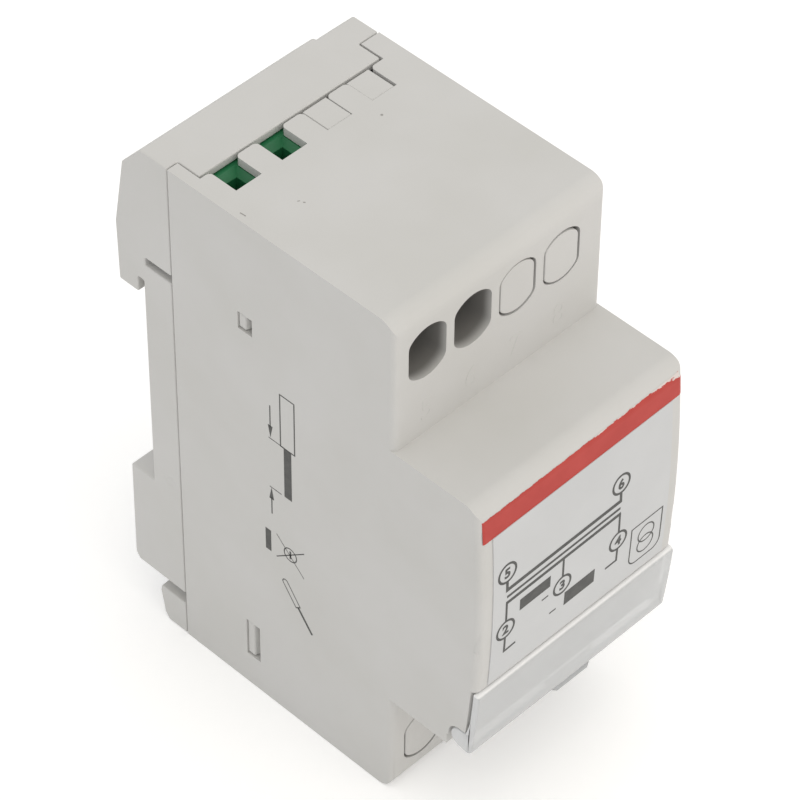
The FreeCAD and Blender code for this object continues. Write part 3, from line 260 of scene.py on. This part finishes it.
looks = {
    "housing_plastic": {
        "dark": paint(204, 203, 200), "light": paint(208, 207, 205), "cloudScale": 55.0,
        "roughness": 0.52, "roughnessPlay": 0.04,
        "grainScale": 5200.0, "grainStrength": 0.35, "grainDepth": 0.012,
        "Specular IOR Level": 0.4, "dents": [(-17.9, -3.5, -15.6, 1.3, 0.16), (-17.9, -2.6, -15.3, 0.8, 0.1)],
        # painted shade down the screw ways: the housing's colour is multiplied by the shade colour there
        "ways": {"firstX": -12.5, "pitch": 7.62, "before": 0.499, "beyond": 3.499,
                 "highZ": 32.55, "lowZ": -36.15, "halfWide": 3.4, "halfTall": 4.15,
                 "startY": -43.6, "fullY": -41.9, "endY": -18.0,
                 "shade": (0.4, 0.39, 0.38, 1.0)}},
    "clip_plastic": {
        "dark": paint(196, 195, 190), "light": paint(203, 202, 198), "cloudScale": 70.0,
        "roughness": 0.45, "roughnessPlay": 0.04,
        "grainScale": 4200.0, "grainStrength": 0.3, "grainDepth": 0.01},
    "label_film": {
        "dark": paint(200, 201, 202), "light": paint(204, 205, 206), "cloudScale": 90.0,
        "roughness": 0.42, "roughnessPlay": 0.03,
        "grainScale": 3000.0, "grainStrength": 0.2, "grainDepth": 0.006},
    "clear_plastic": {
        "dark": (0.66, 0.67, 0.68, 1.0), "light": (0.7, 0.71, 0.72, 1.0), "cloudScale": 60.0,
        "roughness": 0.09, "roughnessPlay": 0.03,
        "grainScale": 900.0, "grainStrength": 0.12, "grainDepth": 0.02,
        "IOR": 1.49, "Coat Weight": 0.4, "Coat Roughness": 0.05,
        "clear": 0.7, "dense": 0.86, "rimTop": (-13.6, -13.4), "rimLow": (-24.8, -25.0),
        # the last two colours are a painted highlight for the flap's top rim and painted shade for its low
        # rim
        "rimSide": (17.68, 17.8), "paintedHighlight": (0.97, 0.97, 0.97, 1.0), "deep": (0.55, 0.56, 0.57, 1.0)},
    "terminal_plastic": {
        "dark": paint(38, 112, 72), "light": paint(50, 130, 86), "cloudScale": 120.0,
        "roughness": 0.34, "roughnessPlay": 0.05,
        "grainScale": 3800.0, "grainStrength": 0.3, "grainDepth": 0.01},
    "board_laminate": {
        "dark": paint(36, 98, 58), "light": paint(48, 116, 70), "cloudScale": 160.0,
        "roughness": 0.4, "roughnessPlay": 0.05,
        "grainScale": 2600.0, "grainStrength": 0.4, "grainDepth": 0.02},
    "bobbin_plastic": {
        "dark": paint(214, 208, 190), "light": paint(226, 221, 206), "cloudScale": 90.0,
        "roughness": 0.5, "roughnessPlay": 0.05,
        "grainScale": 3400.0, "grainStrength": 0.3, "grainDepth": 0.01},
    "coil_tape": {
        "dark": paint(214, 176, 70), "light": paint(228, 194, 92), "cloudScale": 140.0,
        "roughness": 0.22, "roughnessPlay": 0.06,
        "grainScale": 1400.0, "grainStrength": 0.4, "grainDepth": 0.02},
    "fuse_coating": {
        "dark": paint(170, 104, 40), "light": paint(190, 122, 54), "cloudScale": 260.0,
        "roughness": 0.28, "roughnessPlay": 0.06,
        "grainScale": 1800.0, "grainStrength": 0.5, "grainDepth": 0.03},
    "contact_brass": {
        "dark": paint(206, 178, 120), "light": paint(222, 198, 142), "cloudScale": 240.0, "Metallic": 1.0,
        "roughness": 0.3, "roughnessPlay": 0.08,
        "grainScale": 3000.0, "grainStrength": 0.4, "grainDepth": 0.01,
        "stretch": (1, 1, 0.1)},
    "tinned_pin": {
        "dark": paint(196, 198, 200), "light": paint(216, 218, 220), "cloudScale": 300.0, "Metallic": 1.0,
        "roughness": 0.28, "roughnessPlay": 0.08,
        "grainScale": 2600.0, "grainStrength": 0.4, "grainDepth": 0.01},
    "screw_steel": {
        "dark": paint(188, 190, 194), "light": paint(208, 210, 214), "cloudScale": 260.0, "Metallic": 1.0,
        "roughness": 0.3, "roughnessPlay": 0.08,
        "grainScale": 2800.0, "grainStrength": 0.5, "grainDepth": 0.012},
    "clamp_steel": {
        "dark": paint(180, 181, 182), "light": paint(204, 205, 206), "cloudScale": 260.0, "Metallic": 1.0,
        "roughness": 0.34, "roughnessPlay": 0.08,
        "grainScale": 2600.0, "grainStrength": 0.5, "grainDepth": 0.012,
        "stretch": (1, 0.12, 1)},
    "spring_steel": {
        "dark": paint(170, 172, 176), "light": paint(196, 198, 202), "cloudScale": 400.0, "Metallic": 1.0,
        "roughness": 0.26, "roughnessPlay": 0.06,
        "grainScale": 3000.0, "grainStrength": 0.3, "grainDepth": 0.008},
    "scuff": {
        "dark": paint(142, 140, 136), "light": paint(168, 166, 162), "cloudScale": 900.0,
        "roughness": 0.6, "roughnessPlay": 0.06,
        "grainScale": 5000.0, "grainStrength": 0.2, "grainDepth": 0.004},
    "ink": {
        "dark": paint(66, 66, 65), "light": paint(80, 80, 78), "cloudScale": 900.0,
        "roughness": 0.55, "roughnessPlay": 0.06,
        "grainScale": 5000.0, "grainStrength": 0.2, "grainDepth": 0.004},
    "core_steel": {
        "dark": paint(92, 92, 96), "light": paint(118, 118, 122), "cloudScale": 90.0, "Metallic": 0.9,
        "roughness": 0.42, "roughnessPlay": 0.08,
        "grainScale": 2400.0, "grainStrength": 0.6, "grainDepth": 0.08,
        "ridgeAxis": "X", "ridgeScale": 640.0, "ridgeWarp": 0.3, "ridgeShade": 0.45},
    "winding_copper": {
        "dark": paint(170, 92, 48), "light": paint(196, 112, 62), "cloudScale": 120.0, "Metallic": 0.85,
        "roughness": 0.3, "roughnessPlay": 0.06,
        "grainScale": 2400.0, "grainStrength": 0.8, "grainDepth": 0.1,
        "ridgeAxis": "Z", "ridgeScale": 900.0, "ridgeWarp": 0.3, "ridgeShade": 0.4},
    "band_ink": {
        "dark": paint(184, 67, 61), "light": paint(191, 74, 68), "cloudScale": 240.0,
        "roughness": 0.5, "roughnessPlay": 0.04, "Specular IOR Level": 0.2,
        "grainScale": 2600.0, "grainStrength": 0.2, "grainDepth": 0.006,
        "film": paint(222, 212, 208), "wearLow": 16.7, "wearHigh": 17.9, "endFrom": 11.0, "endTo": 17.0,
        "endLow": 15.2, "fleckScale": 1300.0, "fleckStretch": (0.35, 1.0, 1.0), "fleckFrom": 0.42,
        "fleckFull": 0.45},
}
makers = {"housing_plastic": paintedShadeInWays, "clear_plastic": clearPlate, "band_ink": wornBand,
          "core_steel": ribbed, "winding_copper": ribbed}
finishes = {name: makers.get(name, moulded)(name, look) for name, look in looks.items()}
slotOf = {part["node"]: part["material_slot"] for part in frame["record"]["subparts"]}
for name, thing in nodes.items():
    thing.data.materials.clear()
    thing.data.materials.append(finishes[slotOf[name]])
print("stage: finishes set,", len(finishes))


# Moulded pieces with their edges eased

def settle(mesh, easing):
    # an insert sits a little loose: its disc is drawn in towards its axis and both its disc and
    # its tongue are moved, each point going to axis + (point - axis) * scale + shift
    points = np.empty(len(mesh.vertices) * 3)
    mesh.vertices.foreach_get("co", points)
    points = points.reshape(-1, 3) / mm
    axis = np.array([easing["seat"][0], 0.0, easing["seat"][1]])
    isDisc = points[:, 1] < easing["discRear"]
    scale = np.where(isDisc[:, None], easing["disc"]["scale"], easing["tongue"]["scale"])
    shift = np.where(isDisc[:, None], easing["disc"]["shift"], easing["tongue"]["shift"])
    mesh.vertices.foreach_set("co", (((points - axis) * scale + axis + shift) * mm).ravel())
    mesh.update()


def roundLowEdge(shape, low):
    # the long edges that run along one level at the front take a larger round
    long = [edge for edge in shape.edges if edge.calc_length() > low["longer"] * mm and all(
        abs(vert.co.z - low["level"] * mm) < low["within"] * mm and vert.co.y < low["front"] * mm
        for vert in edge.verts)]
    bmesh.ops.bevel(shape, geom=long, offset=low["radius"] * mm, offset_type="OFFSET",
                    segments=low["segments"], profile=0.5, affect="EDGES", clamp_overlap=True)


# merge and room are lengths in millimetres, flat is in radians and sharp in degrees
edges = {"merge": 0.0005, "flat": 0.004, "sharp": 32.0, "room": 0.1}


def weighEdges(shape, isEased):
    # sharp edges are marked for easing, apart from those that end at a very short edge and stay crisp
    weight = shape.edges.layers.float.new("bevel_weight_edge")
    room = {vert: min(edge.calc_length() for edge in vert.link_edges) for vert in shape.verts}
    for edge in shape.edges:
        if edge.calc_face_angle(0.0) > np.radians(edges["sharp"]):
            roomy = isEased and min(room[vert] for vert in edge.verts) > edges["room"] * mm
            edge[weight] = 1.0 if roomy else 0.0
            edge.smooth = roomy


def easeEdges(piece, easing):
    bevel = piece.modifiers.new("easedEdges", "BEVEL")
    bevel.width = easing["width"] * mm
    bevel.segments = easing["segments"]
    bevel.limit_method = "WEIGHT"
    bevel.harden_normals = True
    bevel.use_clamp_overlap = False
    bevel.miter_outer = "MITER_ARC"


def easedCopy(node, easing):
    # the node's own shape, merged, with its flat faces joined
    shape = bmesh.new()
    shape.from_mesh(nodes[node].data)
    bmesh.ops.remove_doubles(shape, verts=shape.verts, dist=edges["merge"] * mm)
    bmesh.ops.dissolve_limit(shape, angle_limit=edges["flat"], verts=shape.verts, edges=shape.edges)
    if "lowEdge" in easing:
        roundLowEdge(shape, easing["lowEdge"])
    for face in shape.faces:
        face.smooth = True
    isEased = "width" in easing
    weighEdges(shape, isEased)
    mesh = bpy.data.meshes.new(easing["name"])
    shape.to_mesh(mesh)
    shape.free()
    if "seat" in easing:
        settle(mesh, easing)
    mesh.materials.append(finishes[slotOf[node]])
    piece = bpy.data.objects.new(easing["name"], mesh)
    bpy.context.collection.objects.link(piece)
    if isEased:
        easeEdges(piece, easing)
    even = piece.modifiers.new("evenShading", "WEIGHTED_NORMAL")
    even.keep_sharp = True
    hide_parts(node)
    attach(piece, easing["body"])


# a piece with no width keeps its edges as sharp as the solid's
eased = {
    "front_cover": {"name": "coverShell", "body": "housing"},
    "rear_base": {"name": "baseShell", "body": "housing", "width": 0.22, "segments": 2},
    "blank_insert_1": {"name": "blankOne", "body": "housing", "width": 0.14, "segments": 2,
                       "seat": (-12.5, -36.15), "discRear": -41.0,
                       "disc": {"scale": (0.97, 1, 0.97), "shift": (0, 0, 0)},
                       "tongue": {"scale": (1, 1, 1), "shift": (0, 0, 0)}},
    "blank_insert_7": {"name": "blankSeven", "body": "housing", "width": 0.14, "segments": 2,
                       "seat": (2.74, 32.55), "discRear": -41.0,
                       "disc": {"scale": (0.97, 1, 0.97), "shift": (-0.04, 0, 0.04)},
                       "tongue": {"scale": (1.045, 1, 1), "shift": (0.05, 0, 0)}},
    "blank_insert_8": {"name": "blankEight", "body": "housing", "width": 0.14, "segments": 2,
                       "seat": (10.36, 32.55), "discRear": -41.0,
                       "disc": {"scale": (0.96, 1, 0.96), "shift": (-0.16, 0, 0.06)},
                       "tongue": {"scale": (1, 1, 1), "shift": (-0.17, 0, 0)}},
    "label_flap": {"name": "flapShell", "body": "flap", "width": 0.26, "segments": 3,
                   "lowEdge": {"level": -25.1, "within": 0.03, "front": -56.9, "longer": 3.0, "radius": 0.8,
                               "segments": 5}},
    "rail_clip": {"name": "clipPlate", "body": "clip", "width": 0.2, "segments": 2},
}
for node, easing in eased.items():
    easedCopy(node, easing)
print("stage: eased pieces made,", len(eased))


# Printed and raised marks

strokes = {"longestStep": 1.0, "leastCosine": 0.5, "ringPoints": 40}


def stroke(path, width, closed=False):
    # a band of even width: each point gives two, half a width to either side of the path,
    # along the bisector of the legs that meet there, stretched by one over its cosine
    path = np.asarray(path, dtype=float)
    legs = np.diff(np.vstack([path, path[:1]]) if closed else path, axis=0)
    length = np.hypot(legs[:, 0], legs[:, 1])
    parts = np.maximum(np.ceil(length / strokes["longestStep"]).astype(int), 1)
    start = np.repeat(np.arange(len(legs)), parts)
    step = np.arange(parts.sum()) - np.repeat(np.cumsum(parts) - parts, parts)
    points = path[start] + legs[start] * (step / parts[start])[:, None]
    if not closed:
        points = np.vstack([points, path[-1:]])
    ahead = np.roll(points, -1, axis=0) - points
    behind = points - np.roll(points, 1, axis=0)
    if not closed:
        ahead[-1] = behind[-1]
        behind[0] = ahead[0]
    ahead /= np.linalg.norm(ahead, axis=1)[:, None]
    behind /= np.linalg.norm(behind, axis=1)[:, None]
    side = np.column_stack([-(ahead + behind)[:, 1], (ahead + behind)[:, 0]])
    side /= np.linalg.norm(side, axis=1)[:, None]
    cosine = np.abs(side[:, 0] * -ahead[:, 1] + side[:, 1] * ahead[:, 0])
    side *= (width / 2 / np.maximum(cosine, strokes["leastCosine"]))[:, None]
    verts = np.vstack([points - side, points + side])
    count = len(points)
    first = np.arange(count if closed else count - 1)
    following = (first + 1) % count
    faces = np.column_stack([first, following, following + count, first + count])
    return verts, faces.tolist()


def ring(centre, radius, width):
    # closed stroke round a circle: centre plus radius times cosine and sine
    turn = np.linspace(0, 2 * np.pi, strokes["ringPoints"], endpoint=False)
    path = np.column_stack([centre[0] + radius * np.cos(turn), centre[1] + radius * np.sin(turn)])
    return stroke(path, width, closed=True)


def digit(text, size, centre, bold=0.0):
    # outline of a numeral as a flat mesh, its box centred on the place
    curve = bpy.data.curves.new("numeral", "FONT")
    curve.body = text
    curve.size = size
    curve.offset = bold
    curve.resolution_u = 6
    holder = bpy.data.objects.new("numeral", curve)
    bpy.context.collection.objects.link(holder)
    mesh = bpy.data.meshes.new_from_object(holder.evaluated_get(bpy.context.evaluated_depsgraph_get()))
    verts = np.empty(len(mesh.vertices) * 3)
    mesh.vertices.foreach_get("co", verts)
    verts = verts.reshape(-1, 3)[:, :2]
    faces = [list(face.vertices) for face in mesh.polygons]
    bpy.data.objects.remove(holder)
    return verts - (verts.min(axis=0) + verts.max(axis=0)) / 2 + np.asarray(centre), faces


def gather(marks):
    # marks joined into one list of flat points and faces
    verts = np.vstack([m[0] for m in marks])
    shift = np.cumsum([0] + [len(m[0]) for m in marks[:-1]])
    faces = [[i + int(s) for i in face] for m, s in zip(marks, shift) for face in m[1]]
    return verts, faces


def layOn(name, marks, place, finish, thickness, turned=False):
    # flat points are carried to a face of the housing by the place function, then given a thin body
    flat, faces = gather(marks)
    verts = place(flat[:, 0], flat[:, 1]) * mm
    mesh = bpy.data.meshes.new(name)
    mesh.from_pydata(verts.tolist(), [], faces)
    if turned:
        mesh.flip_normals()
    mesh.materials.append(finish)
    piece = bpy.data.objects.new(name, mesh)
    bpy.context.collection.objects.link(piece)
    body = piece.modifiers.new("inkBody", "SOLIDIFY")
    body.thickness = thickness * mm
    body.offset = 1.0
    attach(piece, "housing")


# how far marks stand off their faces, and how the print on the label lies
laid = {"label": 0.125, "left": 0.004, "shoulder": 0.02, "top": 0.002,
        "rise": 0.0215, "riseFrom": -7.2, "across": -0.2}


def onLabel(u, v):
    # across the hood, and as deep as its arc, just proud of the film. The print sits a little
    # to the left and rises a little to the right
    v = v + laid["rise"] * (u - laid["riseFrom"])
    return np.column_stack([u + laid["across"], hoodFront(v, laid["label"]), v])


def onLeft(u, v):
    # flat on the left face
    return np.column_stack([np.full_like(u, -housing["half"] - laid["left"]), u, v])


def onShoulder(u, v):
    # flat on the upper shoulder
    return np.column_stack([u, np.full_like(u, housing["shoulderY"] + laid["shoulder"]), v])


def onTop(u, v):
    # flat on the top face
    return np.column_stack([u, v, np.full_like(u, housing["topZ"] + laid["top"])])


circuit = {
    "left": -13.22, "middle": -3.2, "right": 6.87,
    "upper": 6.35, "lower": -3.8,
    "ring": 1.48, "line": 0.35, "numeral": 2.15, "bold": 0.085,
    "primary": 3.35, "primaryLine": 0.62, "leadStop": 3.05, "leadLine": 0.455,
    "core": 2.1, "coreLine": 0.42,
    "secondary": 1.05, "secondaryLine": 0.55, "overhang": 0.15,
    "tails": {"left": ((0.0, -7.9), (2.0, -7.8)), "right": ((0.0, -7.47), (-2.0, -7.47))},
    "bars": [([(-10.85, -1.27), (-5.45, -1.27)], 1.95), ([(-2.6, -6.95), (2.85, -6.95)], 2.4)],
    "dashes": [([(-6.85, -3.74), (-5.7, -3.74)], 0.24), ([(-5.2, -7.55), (-4.05, -7.55)], 0.24)],
}
c = circuit
left, middle, right, upper, lower = [c[key] for key in ("left", "middle", "right", "upper", "lower")]
ringSeats = {"5": (left, upper), "6": (right, upper),
             "2": (left, lower), "3": (middle, lower), "4": (right, lower)}
marks = [ring(seat, c["ring"], c["line"]) for seat in ringSeats.values()]
marks += [digit(text, c["numeral"], seat, c["bold"]) for text, seat in ringSeats.items()]
marks += [stroke([(side, upper - c["ring"]), (side, c["leadStop"])], c["leadLine"]) for side in (left, right)]
marks += [
    stroke([(left - over, level), (right + over, level)], line)
    for level, line, over in (
        (c["primary"], c["primaryLine"], c["overhang"]),
        (c["core"], c["coreLine"], 0.0),
        (c["secondary"], c["secondaryLine"], c["overhang"]))]
marks += [stroke([(side, c["secondary"]), (side, lower + c["ring"])], c["line"])
          for side in (left, middle, right)]
marks += [
    stroke([(c[side], lower - c["ring"])] + [(c[side] + across, level) for across, level in tail], c["line"])
    for side, tail in c["tails"].items()]
marks += [stroke(path, width) for path, width in c["bars"] + c["dashes"]]

# plain transformer sign, two rings that overlap in a frame with rounded lower corners: each corner's
# points lie one radius from its centre, by sine and cosine
sign = {"left": 9.45, "right": 15.1, "top": -4.0, "bottom": -11.0, "round": 1.4, "cornerPoints": 9,
        "ring": 1.45, "ringLevels": (-6.5, -8.4), "line": 0.2}
quarter = np.linspace(0, np.pi / 2, sign["cornerPoints"])
insetCos = sign["round"] * (1 - np.cos(quarter))
insetSin = sign["round"] * (1 - np.sin(quarter))
lowLeft = np.column_stack([sign["left"] + insetCos, sign["bottom"] + insetSin])
lowRight = np.column_stack([sign["right"] - insetSin, sign["bottom"] + insetCos])
signPath = np.vstack([[(sign["left"], sign["top"])], lowLeft, lowRight, [(sign["right"], sign["top"])]])
marks.append(stroke(signPath, sign["line"], closed=True))
signX = (sign["left"] + sign["right"]) / 2
marks += [ring((signX, level), sign["ring"], sign["line"]) for level in sign["ringLevels"]]
layOn("labelPrint", marks, onLabel, finishes["ink"], 0.012)

# strip length with its arrows, a crossed screw head and a screwdriver on the left face
wire = {
    "sleeve": [(-24.0, 15.25), (-26.47, 15.25), (-26.47, 6.3), (-24.0, 6.3)],
    "core": [(-25.2, 6.25), (-25.2, -2.37)], "coreWidth": 1.32, "line": 0.2,
    "guides": [[(-21.9, 6.33), (-24.6, 6.33)], [(-21.9, -2.4), (-24.0, -2.4)]], "guideLine": 0.14,
}
arrows = {"across": -22.22, "line": 0.2, "shaftInto": 1.8, "headLong": 2.1, "headHalf": 0.42,
          "ends": [(12.1, 6.5, 1), (-7.2, -2.45, -1)]}
driver = {"butt": (-24.4, -18.3), "tip": (-26.65, -21.4), "half": 0.47, "buttPoints": 11, "line": 0.16,
          "bladeEnd": (-29.16, -24.68), "blade": 0.4}
signs = {"bar": [(-21.45, -10.6), (-21.45, -14.4)], "barLine": 1.0,
         "head": (-25.4, -12.5), "headRadius": 1.1, "headLine": 0.18,
         "slot": [(-25.4, -11.8), (-25.4, -13.2)], "slotLine": 0.3,
         "crosses": [([(-22.97, -10.35), (-27.82, -15.09)], 0.12),
                     ([(-22.88, -14.58), (-27.88, -10.4)], 0.16)]}


def arrowMarks(tail, point, way):
    # a shaft and a three-cornered head; way is 1 where the tail lies above the point, else -1
    across, half = arrows["across"], arrows["headHalf"]
    root = point + way * arrows["headLong"]
    shaft = stroke([(across, tail), (across, point + way * arrows["shaftInto"])], arrows["line"])
    corners = [(across, point), (across + way * half, root), (across - way * half, root)]
    return [shaft, (np.array(corners), [[0, 1, 2]])]


def gripOutline(grip):
    # a straight grip that ends in a half circle: butt + half * (cosine across - sine along)
    butt, tip = np.array(grip["butt"]), np.array(grip["tip"])
    along = (tip - butt) / np.linalg.norm(tip - butt)
    sideways = np.array([along[1], -along[0]])
    swing = np.linspace(0, np.pi, grip["buttPoints"])[:, None]
    buttArc = butt + grip["half"] * (np.cos(swing) * sideways - np.sin(swing) * along)
    return np.vstack([buttArc, tip - grip["half"] * sideways, tip + grip["half"] * sideways])


sideMarks = [stroke(wire["sleeve"], wire["line"], closed=True), stroke(wire["core"], wire["coreWidth"])]
sideMarks += [mark for end in arrows["ends"] for mark in arrowMarks(*end)]
sideMarks += [stroke(guide, wire["guideLine"]) for guide in wire["guides"]]
sideMarks += [
    stroke(signs["bar"], signs["barLine"]),
    stroke(gripOutline(driver), driver["line"], closed=True),
    stroke([driver["tip"], driver["bladeEnd"]], driver["blade"]),
    ring(signs["head"], signs["headRadius"], signs["headLine"]),
    stroke(signs["slot"], signs["slotLine"]),
]
sideMarks += [stroke(path, width) for path, width in signs["crosses"]]
layOn("sidePrint", sideMarks, onLeft, finishes["ink"], 0.008, turned=True)

# faint raised numerals between each row of holes and the hood
raised = {"size": 4.6, "height": 0.05, "columns": [-12.5, -4.88, 2.74, 10.36],
          "rows": {23.1: "5678", -29.1: "1234"}}
raisedMarks = [
    digit(number, raised["size"], (seat, level))
    for level, numbers in raised["rows"].items() for number, seat in zip(numbers, raised["columns"])]
layOn("raisedNumerals", raisedMarks, onShoulder, finishes["housing_plastic"],
      raised["height"])

# scuffs and the moulding's gate mark on the top
scuffs = {
    "strokes": [([(-10.79, -20.19), (-10.49, -20.34)], 0.16), ([(-10.43, -20.78), (-10.25, -21.03)], 0.2),
                ([(-16.95, -16.85), (-16.88, -17.75)], 0.16)],
    "gate": {"centre": (7.2, -16.4), "radius": 0.1, "width": 0.16},
}
scuffMarks = [stroke(path, width) for path, width in scuffs["strokes"]] + [ring(**scuffs["gate"])]
layOn("topScuffs", scuffMarks, onTop, finishes["scuff"], 0.006)
print("stage: marks laid on")


# Red band and label film, two printed sheets that follow the hood's curved front

printed = {"cornerFrom": 16.6, "cornerRound": 2.6, "columns": 280, "mostOfRound": 0.98,
           "waves": [(0.05, 2.3, 0.4), (0.035, 5.9, 1.7), (0.03, 13.7, 0.0)]}
band = {"left": -17.35, "right": 17.7, "low": 13.97, "lowRise": 0.0186, "high": 17.57, "highRise": 0.018,
        "lift": 0.012, "thickness": 0.02, "rows": 14, "wander": 0.6}
film = {"left": -15.8, "right": 15.8, "low": -12.6, "lowRise": 0.0, "high": 14.0, "highRise": 0.0186,
        "lift": 0.0, "thickness": 0.12, "rows": 60, "wander": 0.0}


def sheetSurface(u, v, lift):
    # u across, v up. The depth is the hood's arc, plus the drop of a rounded edge beyond where
    # that edge starts: one radius less the leg of a right triangle, at the sides and at the top
    most = printed["mostOfRound"]
    beyondFlat = np.clip(np.abs(u) - (housing["half"] - housing["edgeRound"]), 0, housing["edgeRound"] * most)
    drop = housing["edgeRound"] - np.sqrt(housing["edgeRound"] ** 2 - beyondFlat ** 2)
    overTop = np.clip(v - printed["cornerFrom"], 0, printed["cornerRound"] * most)
    fall = printed["cornerRound"] - np.sqrt(printed["cornerRound"] ** 2 - overTop ** 2)
    front = hoodFront(np.minimum(v, printed["cornerFrom"]), lift)
    return np.column_stack([u, front + drop + fall, v])


def raggedEdge(u):
    # the printed edge wanders: three sine waves whose lengths share no common measure
    return sum(height * np.sin(u * turns + start) for height, turns, start in printed["waves"])


def printedSheet(name, sheet, node):
    # low and high edges are straight lines that rise a little to the right
    across = np.linspace(sheet["left"], sheet["right"], printed["columns"])
    share = np.linspace(0, 1, sheet["rows"])
    gridU, gridShare = np.meshgrid(across, share)
    low = sheet["low"] + sheet["lowRise"] * gridU
    high = sheet["high"] + sheet["highRise"] * gridU
    gridV = low + (high - low) * gridShare + sheet["wander"] * raggedEdge(gridU) * gridShare ** 3
    verts = sheetSurface(gridU.ravel(), gridV.ravel(), sheet["lift"]) * mm
    row = np.arange(sheet["rows"] - 1)[:, None] * printed["columns"]
    corner = (row + np.arange(printed["columns"] - 1)[None, :]).ravel()
    above = corner + printed["columns"]
    faces = np.column_stack([corner, corner + 1, above + 1, above])
    mesh = bpy.data.meshes.new(name)
    mesh.from_pydata(verts.tolist(), [], faces.tolist())
    mesh.materials.append(finishes[slotOf[node]])
    piece = bpy.data.objects.new(name, mesh)
    bpy.context.collection.objects.link(piece)
    body = piece.modifiers.new("inkBody", "SOLIDIFY")
    body.thickness = sheet["thickness"] * mm
    body.offset = 1.0
    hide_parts(node)
    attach(piece, "housing")


printedSheet("bandPrint", band, "front_band")
printedSheet("labelFilm", film, "front_label")
print("stage: band and film laid on")


# Floor, lights and camera

def stageSheet(name, corners, look):
    # pale to the light it gives back, white to the eye and to what mirrors or passes it
    mesh = bpy.data.meshes.new(name)
    mesh.from_pydata(corners, [], [[0, 1, 2, 3]])
    sheet = bpy.data.objects.new(name, mesh)
    bpy.context.collection.objects.link(sheet)
    material = bpy.data.materials.new(name)
    material.use_nodes = True
    shader = shaderOf(material)
    shader.inputs["Roughness"].default_value = look["roughness"]
    shader.inputs["Specular IOR Level"].default_value = 0.0
    shader.inputs["Emission Color"].default_value = look["seen"]
    rays = newNode(material, "ShaderNodeLightPath")
    direct = reckon(material, "MAXIMUM", (rays, "Is Camera Ray"), (rays, "Is Glossy Ray"))
    seen = reckon(material, "MAXIMUM", direct, (rays, "Is Transmission Ray"))
    feed(material, blend(material, seen, look["lit"], look["seen"]), shader, "Base Color")
    feed(material, reckon(material, "MULTIPLY", seen, look["lift"]), shader, "Emission Strength")
    mesh.materials.append(material)


floor = {"reach": 3.0, "lit": (0.93, 0.93, 0.93, 1.0), "seen": (1.0, 1.0, 1.0, 1.0), "lift": 0.2,
         "roughness": 0.9}
floorCorners = [(x * floor["reach"], y * floor["reach"], housing["floorZ"] * mm)
                for x, y in ((-1, -1), (1, -1), (1, 1), (-1, 1))]
stageSheet("floor", floorCorners, floor)

sky = {"Color": (1, 1, 1, 1), "Strength": 0.78}
world = bpy.data.worlds.new("studio")
bpy.context.scene.world = world
world.use_nodes = True
for socket, value in sky.items():
    world.node_tree.nodes["Background"].inputs[socket].default_value = value


def standAt(thing, columns, spot):
    # the object is linked, turned so that its axes are the given columns, and moved to the spot
    bpy.context.collection.objects.link(thing)
    turn = Matrix(np.column_stack(columns).tolist()).to_4x4()
    turn.translation = spot
    thing.matrix_world = turn


def levelAxes(away):
    # the level direction across the line of sight, and the one upright to both
    sideways = np.cross((0, 0, 1), away)
    sideways /= np.linalg.norm(sideways)
    return sideways, np.cross(away, sideways)


lamps = {
    "overhead": {"place": (-0.05, -0.3, 0.87), "size": 0.8, "power": 1.8, "tint": (1.0, 0.94, 0.8)},
    "front": {"place": (0.25, -0.9, 0.2), "size": 0.6, "power": 1.0, "tint": (1.0, 0.88, 0.74)},
}
for name, lamp in lamps.items():
    light = bpy.data.lights.new(name, "AREA")
    light.shape = "SQUARE"
    light.size = lamp["size"]
    light.energy = lamp["power"]
    light.color = lamp["tint"]
    away = np.array(lamp["place"]) / np.linalg.norm(lamp["place"])
    standAt(bpy.data.objects.new(name, light), [*levelAxes(away), away], lamp["place"])

# the target is in millimetres; across and rise move the picture, and roll turns it about the line of sight
view = {
    "target": (0.0, -25.557, 2.529), "azimuth": -45.8, "elevation": 45.4, "roll": 0.57,
    "distance": 512.04, "across": -0.992, "rise": -0.041, "lens": 183.9, "sensor": 36.0,
    "near": 0.01, "far": 20.0,
}
azimuth, elevation, roll = np.radians([view["azimuth"], view["elevation"], view["roll"]])
back = np.array([np.sin(azimuth) * np.cos(elevation), -np.cos(azimuth) * np.cos(elevation),
                 np.sin(elevation)])
level, upright = levelAxes(back)
across = np.cos(roll) * level + np.sin(roll) * upright
rise = -np.sin(roll) * level + np.cos(roll) * upright
spot = np.array(view["target"]) - view["across"] * across - view["rise"] * rise + view["distance"] * back
camera = bpy.data.objects.new("camera", bpy.data.cameras.new("camera"))
standAt(camera, [across, rise, back], spot * mm)
camera.data.lens = view["lens"]
camera.data.sensor_width = view["sensor"]
camera.data.clip_start = view["near"]
camera.data.clip_end = view["far"]
bpy.context.scene.camera = camera
bpy.context.scene.view_settings.view_transform = "Standard"
print("stage: lights and camera set")
